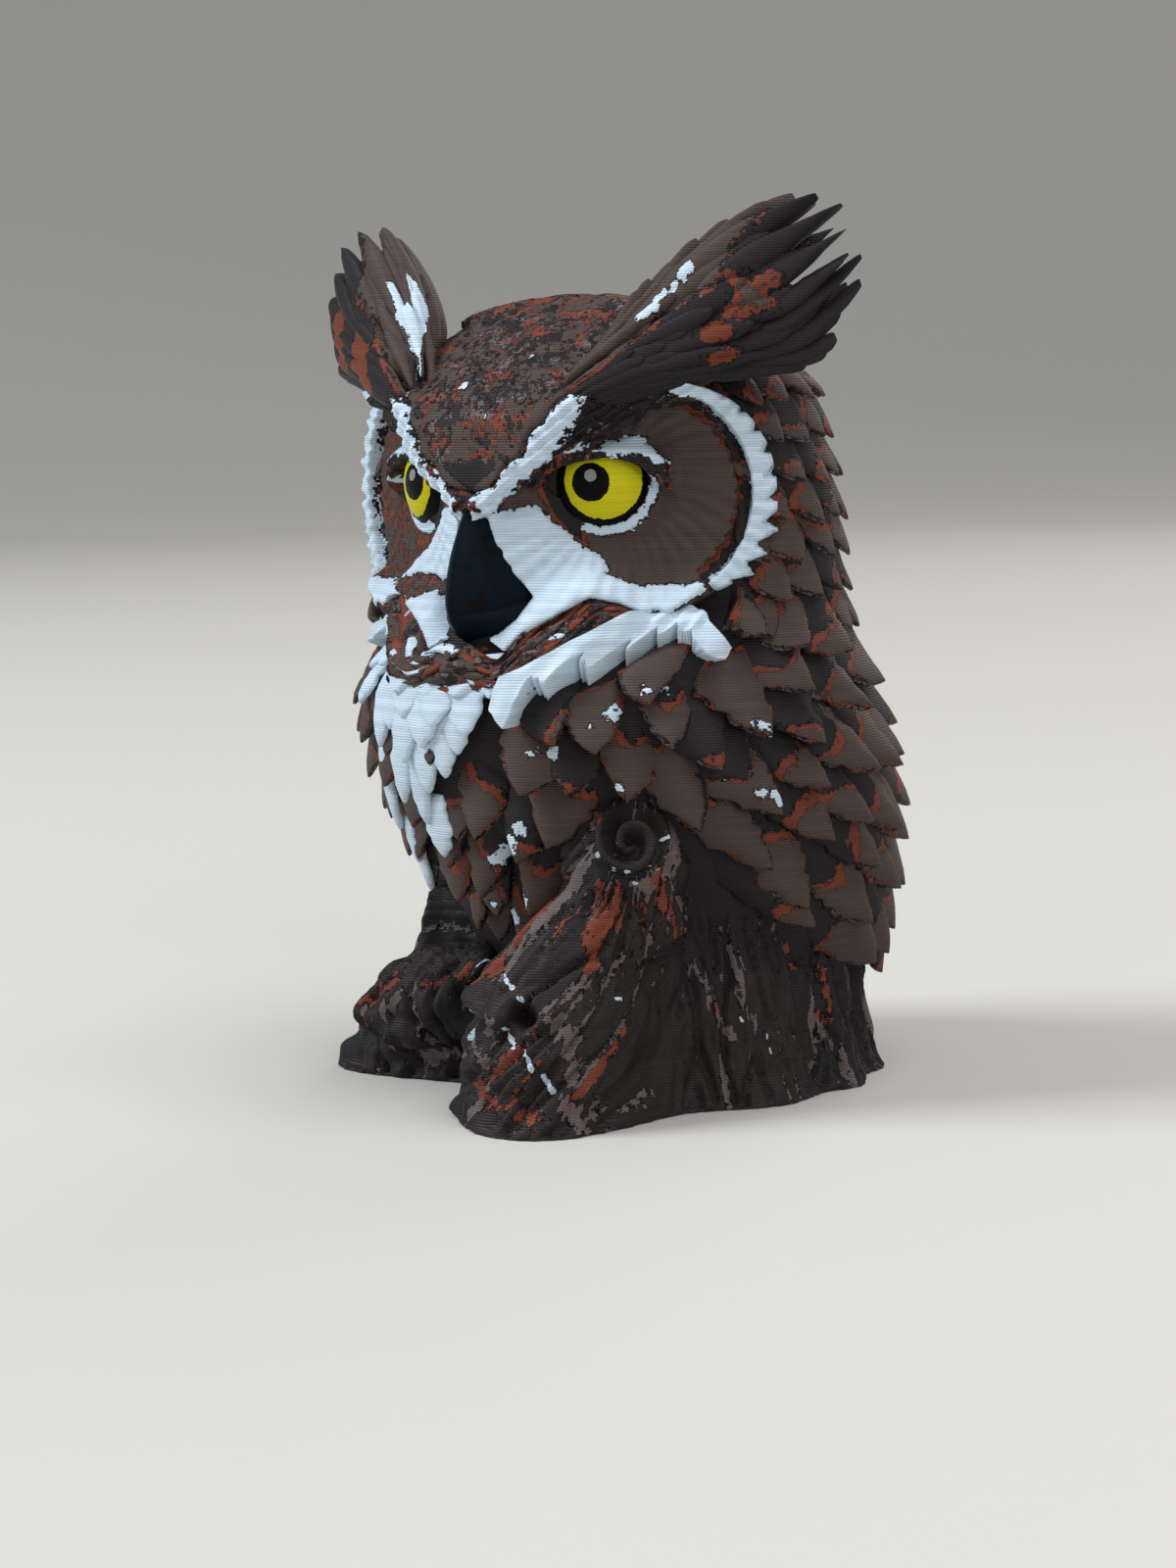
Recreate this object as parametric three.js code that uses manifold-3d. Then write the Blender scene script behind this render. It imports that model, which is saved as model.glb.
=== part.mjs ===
// A horned owl on a root stump, printed in one piece.
// Millimetres, +Z up. The owl's breast faces -Y and the flat underside lies on z = 0.
// Azimuth 0 is the breast, and azimuth 90 degrees is the owl's left side, +X.

import * as THREE from 'three';
import { mergeVertices } from 'three/addons/utils/BufferGeometryUtils.js';
import Module from 'manifold-3d';

const wasm = await Module();
wasm.setup();

const { degToRad, lerp, clamp, smoothstep } = THREE.MathUtils;

// The head looks a little to the owl's left, and the twist is taken up in the neck.
const HEAD_TURN = degToRad(12);
const NECK_LOW = 32;
const NECK_HIGH = 39;

// Half width, front and back of the plain body under its feathers, every 4 mm of height.
const BODY_FLOOR = 8;
const DOME_START = 52;
const DOME_RISE = 11;
const BODY_STATIONS = [
  [15.5, -7.0, 22.0],
  [16.8, -8.6, 23.8],
  [18.0, -11.0, 24.6],
  [19.2, -13.6, 24.6],
  [19.9, -15.6, 24.0],
  [20.0, -17.0, 22.8],
  [19.7, -17.4, 21.2],
  [18.9, -16.4, 19.0],
  [18.3, -15.3, 17.6],
  [18.3, -15.3, 17.2],
  [18.2, -15.6, 16.5],
  [17.5, -13.8, 15.2],
].map((row) => new THREE.Vector3(...row));

// The face is two flat discs that meet on the middle line like an open book.
const FACE_RIDGE = -15.3;
const FACE_SLOPE = 0.6;
const DISC = { x: 11.2, z: 47.3, halfWidth: 8.9, halfHeight: 8.0, rim: 1.1 };
const DISC_AZIMUTH = Math.atan(FACE_SLOPE);

const EYE = { x: 7.7, y: -9.4, z: 47.8, radius: 3.9, bulge: 3.0, lid: 0.6 };

const BEAK = { top: 46.4, tip: 36.3, back: -11.4, halfWidth: 4.1, reach: 3.2 };

// Edges of the left ear tuft, from the middle of the brow to the tip, in the head's own frame.
const TUFT_UPPER = [
  [0.4, -15.2, 47.8], [4.6, -13.6, 53.4], [8.8, -9.6, 58.6],
  [12.2, -7.4, 63.0], [16.6, -5.0, 66.8], [21.6, -2.0, 69.2],
];
const TUFT_LOWER = [
  [0.9, -16.2, 46.2], [6.2, -14.4, 51.2], [12.4, -11.4, 53.6],
  [18.4, -6.6, 55.6], [22.0, -3.6, 58.4], [24.2, -1.4, 62.4],
];
const TUFT = {
  frontThickness: 2.2, backThickness: 4.6, length: 33, hollow: 0.9,
  blades: 8, tipLength: 4.2, lift: 0.75,
};
const TUFT_TIPS = [0.44, 0.66, 0.84, 0.97];

// Strands under the beak, from the middle line out under the disc.
const RUFF = [[-0.6, -14.6, 33.8], [4.5, -14.4, 35.2], [9.5, -12.0, 37.6], [14.5, -8.4, 39.0]];
const RUFF_RADII = [2.0, 2.0, 1.7, 0.9];

// Feathers stand in rows like shingles. Torso rows fan out between the two heights at their ends.
const FEATHERS = 22;
const COLUMNS = 4;
const TORSO_ROWS = 5;
const HEAD_ROWS = 5;
const DOME_LINES = 4;
const COLLAR = 35;
const HEAD_ROW_PITCH = 4.2;
const LEAF = [0, 0.72, 1, 0.72];
const CROWN = [0.35, 0.9, 1, 0.9];
const LIFT = { breast: 0.95, wing: 1.3, wingEdge: 2.0, nape: 0.85 };
const FACE_HALF_WIDTH = 74;
const BREAST_EDGE = 13.2;
const WING_FRONT_EDGE = 20.5;
const WING_BACK_EDGE = 8.8;
const WING_FRONT_AZIMUTH = 48;
const WING_BACK_AZIMUTH = 135;
const WING_SWEEP = 0.3;

// The stump: a fluted trunk with a foot that spreads, two roots in front and a notch between them.
const STUMP = { y: 4, radius: 17.9, foot: 2.0, footHeight: 3, flute: 0.6, flutes: 11 };
const ROOTS = [
  { azimuth: 33, spread: 18.5, reach: 9.6 },
  { azimuth: -46, spread: 16, reach: 5.2 },
  { azimuth: -12, spread: 17, reach: -5.6 },
];
const STUMP_MIDDLE_TOP = 12;
const NOTCH_TOP = 8;
const TOE_AZIMUTH = 22;
const TOE_HEIGHT = 12;
const FAR_ROOT_HEIGHT = 8.5;
const KNOT_AZIMUTH = 50;
const KNOT_HEIGHT = 25;
const NEAR_ROOT = [[13.0, -5.4, 18.4], [11.8, -10.8, 12.8], [9.4, -17.8, 5.4]];
const NEAR_ROOT_RADII = [5.0, 4.9, 4.9];
const FAR_ROOT = [[-3.0, -6.5, 7.4], [-9.0, -9.6, 6.0], [-14.0, -10.6, 3.2]];
const FAR_ROOT_RADII = [4.2, 4.4, 4.7];
const KNOT = { x: 15.9, y: -9.9, z: 21.2, azimuth: 52, radius: 2.4, tube: 0.85, boss: 5.2 };
const HOLLOWS = [[5.6, -21.0, 7.0, 1.6], [12.6, -18.4, 9.6, 1.2], [-8.2, -14.6, 9.6, 1.0]];

function signedPower(value, power) {
  return Math.sign(value) * Math.abs(value) ** power;
}

function solid(geometry) {
  const bare = geometry.clone();
  for (const name of Object.keys(bare.attributes)) {
    if (name !== 'position') {
      bare.deleteAttribute(name);
    }
  }
  const merged = mergeVertices(bare, 1e-4);
  return new wasm.Manifold(new wasm.Mesh({
    numProp: 3,
    vertProperties: new Float32Array(merged.attributes.position.array),
    triVerts: new Uint32Array(merged.index.array),
  }));
}

function warp(geometry, map) {
  const position = geometry.attributes.position;
  const point = new THREE.Vector3();
  for (let i = 0; i < position.count; i += 1) {
    point.fromBufferAttribute(position, i);
    const moved = map(point);
    position.setXYZ(i, moved.x, moved.y, moved.z);
  }
  return geometry;
}

// The mirror image turns the faces inside out, so each triangle's order is turned too.
function mirrored(geometry) {
  const copy = geometry.clone().scale(-1, 1, 1);
  const index = copy.index.array;
  for (let i = 0; i < index.length; i += 3) {
    [index[i], index[i + 1]] = [index[i + 1], index[i]];
  }
  return copy;
}

// A closed barrel of rings: ring(azimuth, v) gives its wall and core(v) the middle of each ring.
function barrel(sides, rows, ring, core) {
  const geometry = new THREE.CylinderGeometry(1, 1, 1, sides, rows);
  return warp(geometry, (p) => {
    const v = p.y + 0.5;
    const radius = Math.min(1, Math.hypot(p.x, p.z));
    const middle = core(v);
    if (radius < 0.5) {
      return middle;
    }
    return ring(Math.atan2(p.x, p.z), v);
  });
}

const bodyCurve = new THREE.CatmullRomCurve3(BODY_STATIONS, false, 'catmullrom', 0.5);

function headTurnAt(z) {
  return HEAD_TURN * smoothstep(z, NECK_LOW, NECK_HIGH);
}

// The plain skin of torso, head and skull, before feathers.
function skin(azimuth, z) {
  const rise = clamp((z - DOME_START) / DOME_RISE, 0, 1);
  const round = Math.sqrt(1 - rise * rise);
  const station = bodyCurve.getPoint(clamp((z - BODY_FLOOR) / (DOME_START - BODY_FLOOR), 0, 1));
  const headness = smoothstep(z, NECK_LOW, NECK_HIGH);
  const power = 2 / lerp(2, 2.4, headness);
  const middle = ((station.y + station.z) / 2) * round;
  const depth = ((station.z - station.y) / 2) * round ** 1.5;
  const x = station.x * round * signedPower(Math.sin(azimuth), power);
  let y = middle - depth * signedPower(Math.cos(azimuth), power);
  const outside = Math.max(0, Math.abs(z - DISC.z) - DISC.halfHeight);
  const face = FACE_RIDGE + FACE_SLOPE * Math.abs(x) - 0.7 * outside;
  y = Math.max(y, face);
  return new THREE.Vector3(x, y, z).applyAxisAngle(new THREE.Vector3(0, 0, 1), headTurnAt(z));
}

function skinNormal(azimuth, z) {
  const step = 0.02;
  const around = skin(azimuth + step, z).sub(skin(azimuth - step, z));
  const up = skin(azimuth, z + 0.3).sub(skin(azimuth, z - 0.3));
  return around.cross(up).normalize();
}

// The height of the lowest feather tips, round the body from breast to tail.
function lowestTips(degrees) {
  const side = Math.abs(degrees);
  const shoulder = lerp(BREAST_EDGE, WING_FRONT_EDGE, smoothstep(side, 10, WING_FRONT_AZIMUTH));
  return lerp(shoulder, WING_BACK_EDGE, smoothstep(side, WING_FRONT_AZIMUTH, WING_BACK_AZIMUTH));
}

function rowHeight(row, degrees) {
  if (row >= TORSO_ROWS) {
    return COLLAR + (row - TORSO_ROWS) * HEAD_ROW_PITCH;
  }
  return lerp(lowestTips(degrees), COLLAR, row / TORSO_ROWS);
}

function rowLift(row, degrees) {
  const side = Math.abs(degrees);
  if (row >= TORSO_ROWS) {
    return LIFT.nape * smoothstep(side, FACE_HALF_WIDTH - 8, FACE_HALF_WIDTH + 8);
  }
  const wing = row === 0 ? LIFT.wingEdge : LIFT.wing;
  return lerp(LIFT.breast, wing, smoothstep(side, WING_FRONT_AZIMUTH - 10, WING_FRONT_AZIMUTH + 10));
}

// Torso, head and skull with their rows of feathers, as one barrel of rings. Each row has two
// rings: one on the skin under its tips, and one along the raised tips.
function plumage() {
  const rows = TORSO_ROWS + HEAD_ROWS;
  const lines = 1 + 2 * rows + DOME_LINES;
  const columns = FEATHERS * COLUMNS;
  const ring = (angle, v) => {
    const line = Math.round(v * lines);
    const column = Math.round((angle / (2 * Math.PI)) * columns) + columns;
    const degrees = THREE.MathUtils.radToDeg(angle);
    if (line === 0) {
      return skin(angle, BODY_FLOOR);
    }
    if (line > 2 * rows) {
      const rise = (line - 2 * rows) / (DOME_LINES + 1);
      return skin(angle, DOME_START + 1 + (DOME_RISE - 1.1) * Math.sin(rise * Math.PI / 2));
    }
    const row = Math.floor((line - 1) / 2);
    const raised = line % 2 === 0;
    const slot = (column + (row % 2) * (COLUMNS / 2)) % COLUMNS;
    const lift = rowLift(row, degrees);
    const pitch = rowHeight(row + 1, degrees) - rowHeight(row, degrees);
    const feathered = clamp(lift, 0, 1);
    const z = rowHeight(row, degrees) + pitch * 0.62 * (1 - LEAF[slot]) * feathered;
    const fall = clamp((COLLAR - z) / (COLLAR - BODY_FLOOR), 0, 1);
    const azimuth = angle + WING_SWEEP * Math.sin(angle) * fall;
    const height = raised ? lift * CROWN[slot] : 0;
    return skin(azimuth, z + (raised ? 0.15 : 0)).addScaledVector(skinNormal(azimuth, z), height);
  };
  const top = new THREE.Vector3(0, 0, DOME_START + DOME_RISE);
  const middle = (v) => (v > 0.5 ? top : new THREE.Vector3(0, 4, BODY_FLOOR));
  return barrel(columns, lines, ring, middle);
}

const curveOf = (points) => new THREE.CatmullRomCurve3(points.map((p) => new THREE.Vector3(...p)));
const tuftUpper = curveOf(TUFT_UPPER);
const tuftLower = curveOf(TUFT_LOWER);

// A point on the left tuft: t runs from brow to tip, and the angle goes round from the upper edge
// over the front face to the lower edge, and back behind it.
function tuftPoint(t, angle, lift) {
  const inside = clamp(t, 0, 1);
  const upper = tuftUpper.getPoint(inside);
  const chord = tuftLower.getPoint(inside).sub(upper);
  const c = 0.5 - 0.5 * Math.cos(angle);
  const along = tuftUpper.getTangent(clamp(t, 0.01, 0.99))
    .lerp(tuftLower.getTangent(clamp(t, 0.01, 0.99)), c).normalize();
  const normal = chord.clone().cross(along).normalize();
  const side = angle >= 0 ? TUFT.frontThickness : TUFT.backThickness;
  const thickness = side * (0.3 + 0.7 * Math.sin(Math.PI * clamp(t, 0.15, 0.96)));
  return upper.addScaledVector(chord, c)
    .addScaledVector(chord.normalize(), -lift * Math.cos(angle))
    .addScaledVector(normal, (thickness + lift) * Math.sin(angle))
    .addScaledVector(along, (t - inside) * TUFT.length);
}

// The tuft is a barrel too: each row of blades ends in a ring of raised points, and the last
// ring stands free as a jagged crown.
function tuft() {
  const columns = TUFT.blades * COLUMNS;
  const lines = 1 + 2 * TUFT_TIPS.length;
  const ring = (angle, v) => {
    const line = Math.round(v * lines);
    if (line < 2) {
      return tuftPoint(line * 0.2, angle, 0);
    }
    const row = Math.floor(line / 2) - 1;
    const slot = (Math.round((angle / (2 * Math.PI)) * columns) + columns + row * 2) % COLUMNS;
    const t = TUFT_TIPS[row] + (LEAF[slot] - 0.5) * TUFT.tipLength / TUFT.length;
    const raised = line % 2 === 0;
    return tuftPoint(raised ? t : t - 0.004, angle, raised ? TUFT.lift * CROWN[slot] : -0.1);
  };
  const middle = (v) => {
    const t = v > 0.5 ? TUFT.hollow : 0;
    return tuftPoint(t, 0, 0).lerp(tuftPoint(t, Math.PI, 0), 0.5);
  };
  return barrel(columns, lines, ring, middle);
}

// A closed tube along a curve, with its own radius at each point and rounded ends.
function limb(points, radii, sides, rows) {
  const curve = curveOf(points);
  const radiusAt = new THREE.CatmullRomCurve3(radii.map((r) => new THREE.Vector3(r, 0, 0)));
  return barrel(sides, rows, (angle, v) => {
    const along = curve.getTangent(v);
    const across = new THREE.Vector3(0, 0, 1).cross(along).normalize();
    const third = across.clone().cross(along);
    const round = Math.sqrt(1 - 0.75 * (2 * v - 1) ** 8);
    const radius = radiusAt.getPoint(v).x * round;
    return curve.getPoint(v)
      .addScaledVector(across, radius * Math.sin(angle))
      .addScaledVector(third, radius * Math.cos(angle));
  }, (v) => curve.getPoint(v));
}

const discOutward = new THREE.Vector3(Math.sin(DISC_AZIMUTH), -Math.cos(DISC_AZIMUTH), 0);
const discAcross = new THREE.Vector3(Math.cos(DISC_AZIMUTH), Math.sin(DISC_AZIMUTH), 0);
const up = new THREE.Vector3(0, 0, 1);

// The raised rim round the outer side of the left disc, which sinks into the cheek by the beak.
function discRim() {
  const ring = new THREE.TorusGeometry(1, 0.1, 5, 26);
  const middle = new THREE.Vector3(DISC.x, FACE_RIDGE + FACE_SLOPE * DISC.x, DISC.z);
  return warp(ring, (p) => {
    const angle = Math.atan2(p.y, p.x);
    const shown = smoothstep(Math.cos(angle), -0.5, 0.1);
    const out = (Math.hypot(p.x, p.y) - 1) * 10 * DISC.rim * 1.2;
    const proud = p.z * 10 * DISC.rim * shown - 1.4 * (1 - shown);
    return middle.clone()
      .addScaledVector(discAcross, (DISC.halfWidth + out) * Math.cos(angle))
      .addScaledVector(up, (DISC.halfHeight + out) * Math.sin(angle))
      .addScaledVector(discOutward, proud);
  });
}

function onFace(local) {
  return new THREE.Vector3(EYE.x, EYE.y, EYE.z)
    .addScaledVector(discAcross, local.x)
    .addScaledVector(up, local.y)
    .addScaledVector(discOutward, local.z);
}

function eyeball() {
  const ball = new THREE.SphereGeometry(1, 12, 8).rotateX(Math.PI / 2);
  return warp(ball, (p) => onFace({ x: p.x * EYE.radius, y: p.y * EYE.radius, z: p.z * EYE.bulge }));
}

function eyelid() {
  const ring = new THREE.TorusGeometry(EYE.radius, EYE.lid, 5, 16);
  return warp(ring, (p) => onFace({ x: p.x, y: p.y, z: p.z + 1.1 }));
}

function beak() {
  return barrel(10, 8, (angle, v) => {
    const fall = 1 - v;
    const z = lerp(BEAK.tip, BEAK.top, v);
    const halfWidth = BEAK.halfWidth * Math.sin(Math.PI * (0.12 + 0.74 * fall ** 0.9)) + 0.1;
    const front = FACE_RIDGE + 0.6 - BEAK.reach * Math.sin(Math.PI * (0.02 + 0.8 * fall ** 1.1)) ** 0.8;
    const back = lerp(BEAK.back, front + 2.2, smoothstep(fall, 0.55, 1));
    const y = (front + back) / 2 - (back - front) / 2 * Math.cos(angle);
    return new THREE.Vector3(halfWidth * Math.sin(angle), y, z);
  }, (v) => new THREE.Vector3(0, lerp(-15.4, -13.8, v), lerp(BEAK.tip, BEAK.top, v)));
}

// The ridge climbs from the near root's toe to the knot.
function ridgeHeight(degrees) {
  if (degrees < ROOTS[2].azimuth) {
    return FAR_ROOT_HEIGHT;
  }
  return lerp(TOE_HEIGHT, KNOT_HEIGHT, smoothstep(degrees, TOE_AZIMUTH, KNOT_AZIMUTH));
}

// Distance from the trunk's axis to its bark. The roots are blunt at the toe and slope above it.
function barkRadius(degrees, z) {
  const azimuth = degToRad(degrees);
  const foot = STUMP.foot * Math.exp(-z / STUMP.footHeight);
  const flute = STUMP.flute * Math.sin(STUMP.flutes * azimuth + 1.6 * Math.sin(3 * azimuth));
  const blunt = lerp(4, 3, smoothstep(degrees, TOE_AZIMUTH, KNOT_AZIMUTH));
  let radius = STUMP.radius + foot + flute;
  for (const root of ROOTS) {
    const away = (degrees - root.azimuth) / root.spread;
    const shape = root.reach > 0 ? 1 - clamp(z / ridgeHeight(degrees), 0, 1) ** blunt : 1;
    radius += root.reach * Math.exp(-away * away) * shape;
  }
  return radius;
}

// The bark ends just under the lowest feathers, on the ridge, or in the notch between the roots.
function trunkTop(degrees) {
  const under = lowestTips(degrees) + 1.5;
  if (degrees > KNOT_AZIMUTH) {
    return lerp(KNOT_HEIGHT - 3, under, smoothstep(degrees, KNOT_AZIMUTH, KNOT_AZIMUTH + 25));
  }
  if (degrees > 0) {
    return lerp(NOTCH_TOP, ridgeHeight(degrees) - 2, smoothstep(degrees, 4, TOE_AZIMUTH));
  }
  return lerp(under, NOTCH_TOP, smoothstep(degrees, -78, -42));
}

function trunk() {
  return barrel(48, 6, (azimuth, v) => {
    const degrees = THREE.MathUtils.radToDeg(azimuth);
    const z = trunkTop(degrees) * v ** 1.3;
    const radius = barkRadius(degrees, z);
    return new THREE.Vector3(radius * Math.sin(azimuth), STUMP.y - radius * Math.cos(azimuth), z);
  }, (v) => new THREE.Vector3(0, STUMP.y, v * STUMP_MIDDLE_TOP));
}

function knotRing() {
  const ring = new THREE.TorusGeometry(KNOT.radius, KNOT.tube, 6, 14).rotateX(Math.PI / 2);
  return ring.rotateZ(degToRad(KNOT.azimuth)).translate(KNOT.x, KNOT.y, KNOT.z);
}

function ball(x, y, z, radius) {
  return new THREE.SphereGeometry(radius, 10, 6).translate(x, y, z);
}

const leftHead = [
  tuft(),
  discRim(),
  eyeball(),
  eyelid(),
  limb(RUFF, RUFF_RADII, 8, 6),
];
const headParts = [...leftHead.flatMap((shape) => [shape, mirrored(shape)]), beak()];
headParts.forEach((shape) => shape.rotateZ(HEAD_TURN));

const stumpParts = [
  trunk(),
  limb(NEAR_ROOT, NEAR_ROOT_RADII, 10, 6),
  limb(FAR_ROOT, FAR_ROOT_RADII, 10, 5),
  ball(KNOT.x - 3.2, KNOT.y + 2.5, KNOT.z - 2.2, KNOT.boss),
  knotRing(),
];

// Everything below the table top is cut off flat.
const UNDERGROUND = 20;
const ground = new THREE.BoxGeometry(120, 120, UNDERGROUND).translate(0, 0, -UNDERGROUND / 2);

const union = (shapes) => wasm.Manifold.union(shapes.map(solid));
const whole = union([plumage(), ...headParts, ...stumpParts])
  .subtract(union([ground, ...HOLLOWS.map((hollow) => ball(...hollow))]));

function toMesh(manifold, name, material) {
  const mesh = manifold.getMesh();
  const geometry = new THREE.BufferGeometry();
  geometry.setAttribute('position', new THREE.BufferAttribute(mesh.vertProperties, 3));
  geometry.setIndex(new THREE.BufferAttribute(mesh.triVerts, 1));
  geometry.computeVertexNormals();
  const result = new THREE.Mesh(geometry, material);
  result.name = name;
  return result;
}

const printedPlastic = new THREE.MeshStandardMaterial({
  color: 0x4a3b38,
  roughness: 0.6,
  metalness: 0,
});
const group = new THREE.Group();
group.add(toMesh(whole, 'owl_bust', printedPlastic));

export default group;
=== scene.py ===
import bpy
import bmesh
import math
import random
from mathutils import Matrix, Vector, noise


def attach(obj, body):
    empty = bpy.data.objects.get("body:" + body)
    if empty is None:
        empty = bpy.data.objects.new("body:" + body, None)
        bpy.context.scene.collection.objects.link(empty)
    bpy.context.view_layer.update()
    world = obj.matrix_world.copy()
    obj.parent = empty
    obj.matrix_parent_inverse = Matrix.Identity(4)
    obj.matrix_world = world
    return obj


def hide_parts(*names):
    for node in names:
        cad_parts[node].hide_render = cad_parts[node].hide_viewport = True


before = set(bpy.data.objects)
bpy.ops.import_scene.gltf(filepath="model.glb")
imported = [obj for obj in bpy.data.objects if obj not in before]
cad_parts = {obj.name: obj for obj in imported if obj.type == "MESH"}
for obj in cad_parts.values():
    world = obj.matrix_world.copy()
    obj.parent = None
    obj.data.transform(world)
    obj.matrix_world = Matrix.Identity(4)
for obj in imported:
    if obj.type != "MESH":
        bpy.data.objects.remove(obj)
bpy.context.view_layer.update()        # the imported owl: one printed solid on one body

mm = 0.001               # shapes are worked out in millimetres and scaled when a piece is finished
weldDistance = 0.002     # points nearer than this, in millimetres, are merged


# plain maths

def smooth(x, low, high):
    t = min(1, max(0, (x - low) / (high - low)))
    return t * t * (3 - 2 * t)


def mix(a, b, t):
    return a + (b - a) * t


def bump(x, middle, width):        # 1 in the middle, falling to 0 at one width to either side
    return 1 - smooth(abs(x - middle), 0, width)


def signedPower(x, power):
    return math.copysign(abs(x) ** power, x)


def through(points, t):            # a smooth curve through the points, t from 0 to 1
    s = min(1, max(0, t)) * (len(points) - 1)
    i = min(int(s), len(points) - 2)
    f = s - i
    a, b = points[i], points[i + 1]
    before = points[i - 1] if i else a * 2 - b
    after = points[i + 2] if i + 2 < len(points) else b * 2 - a
    bend = (before * 2 - a * 5 + b * 4 - after) * (f * f)
    twist = (a * 3 - before - b * 3 + after) * (f * f * f)
    return (a * 2 + (b - before) * f + bend + twist) * 0.5


def vectors(rows):
    return [Vector(row) for row in rows]


def lineValue(points, x):          # height of a bent line at x, the points sorted by x
    for (x0, y0), (x1, y1) in zip(points, points[1:]):
        if x <= x1:
            return mix(y0, y1, max(0, (x - x0) / (x1 - x0)))
    return points[-1][1]


# mesh helpers

def newMesh():
    bm = bmesh.new()
    fields = bm.verts.layers.float_color.new("filament")
    speckle = bm.verts.layers.float.new("speckle")
    return bm, fields, speckle


def warpedGrid(bm, columns, rows, place):
    verts = bmesh.ops.create_grid(bm, x_segments=columns, y_segments=rows, size=1)["verts"]
    for vert in verts:
        place(vert, (vert.co.x + 1) / 2, (vert.co.y + 1) / 2)
    return verts


def closedGrid(bm, columns, rows, place):      # a grid whose sides meet and whose ends are points
    verts = warpedGrid(bm, columns, rows, place)
    bmesh.ops.remove_doubles(bm, verts=verts, dist=weldDistance)


def finishPiece(bm, name, material, weld=True):
    if weld:
        bmesh.ops.remove_doubles(bm, verts=bm.verts, dist=weldDistance)
    bmesh.ops.recalc_face_normals(bm, faces=bm.faces)
    bmesh.ops.scale(bm, vec=(mm, mm, mm), verts=bm.verts)
    mesh = bpy.data.meshes.new(name)
    bm.to_mesh(mesh)
    bm.free()
    mesh.materials.append(material)
    mesh.shade_smooth()
    piece = bpy.data.objects.new(name, mesh)
    bpy.context.scene.collection.objects.link(piece)
    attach(piece, "root")
    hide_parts("owl_bust")
    print(name, len(mesh.polygons), "faces")
    return piece


# camera and studio

camera = {
    "azimuth": 49, "pitch": 6.5, "roll": -1.0,
    "distance": 0.285,                 # along the view to the owl's own axis on the floor
    "across": 0.0012, "above": 0.0236,  # how far the picture's middle is from that point
    "focalShare": 3560 / 1600,         # focal length over the picture's height
    "sensor": 36,
}


def makeCamera():
    a, p, r = (math.radians(camera[key]) for key in ("azimuth", "pitch", "roll"))
    forward = Vector((-math.sin(a) * math.cos(p), math.cos(a) * math.cos(p), -math.sin(p)))
    level = Vector((math.cos(a), math.sin(a), 0))
    over = level.cross(forward)
    right = level * math.cos(r) + over * math.sin(r)
    up = over * math.cos(r) - level * math.sin(r)
    data = bpy.data.cameras.new("camera")
    data.sensor_width = camera["sensor"]
    data.sensor_fit = "AUTO"
    data.lens = camera["focalShare"] * camera["sensor"]
    data.clip_start = 0.01
    eye = bpy.data.objects.new("camera", data)
    turn = Matrix((right, up, -forward)).transposed()
    place = up * camera["above"] - right * camera["across"] - forward * camera["distance"]
    eye.matrix_world = Matrix.Translation(place) @ turn.to_4x4()
    bpy.context.scene.collection.objects.link(eye)
    bpy.context.scene.camera = eye
    print("camera at", [round(c, 4) for c in place])


studio = {
    "floor": (0.56, 0.54, 0.50), "roughness": 0.75,
    "flatRadius": 1.1, "edge": 0.9, "steps": 12, "aim": (0, 0, 0.035),
    "air": (0.88, 0.91, 0.95), "airStrength": 0.24,
    "lamps": [
        # name, place, size, watts, colour
        ("window", (-0.55, -0.75, 0.85), 0.5, 13.5, (0.93, 0.97, 1.0)),
        ("sky", (0.35, 0.1, 1.1), 0.8, 7.5, (0.95, 0.98, 1.0)),
        ("side", (1.0, -0.35, 0.45), 0.6, 3.2, (1.0, 0.96, 0.9)),
        ("back", (-0.3, 0.9, 0.6), 0.6, 2.6, (1.0, 0.98, 0.95)),
    ],
}


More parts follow.
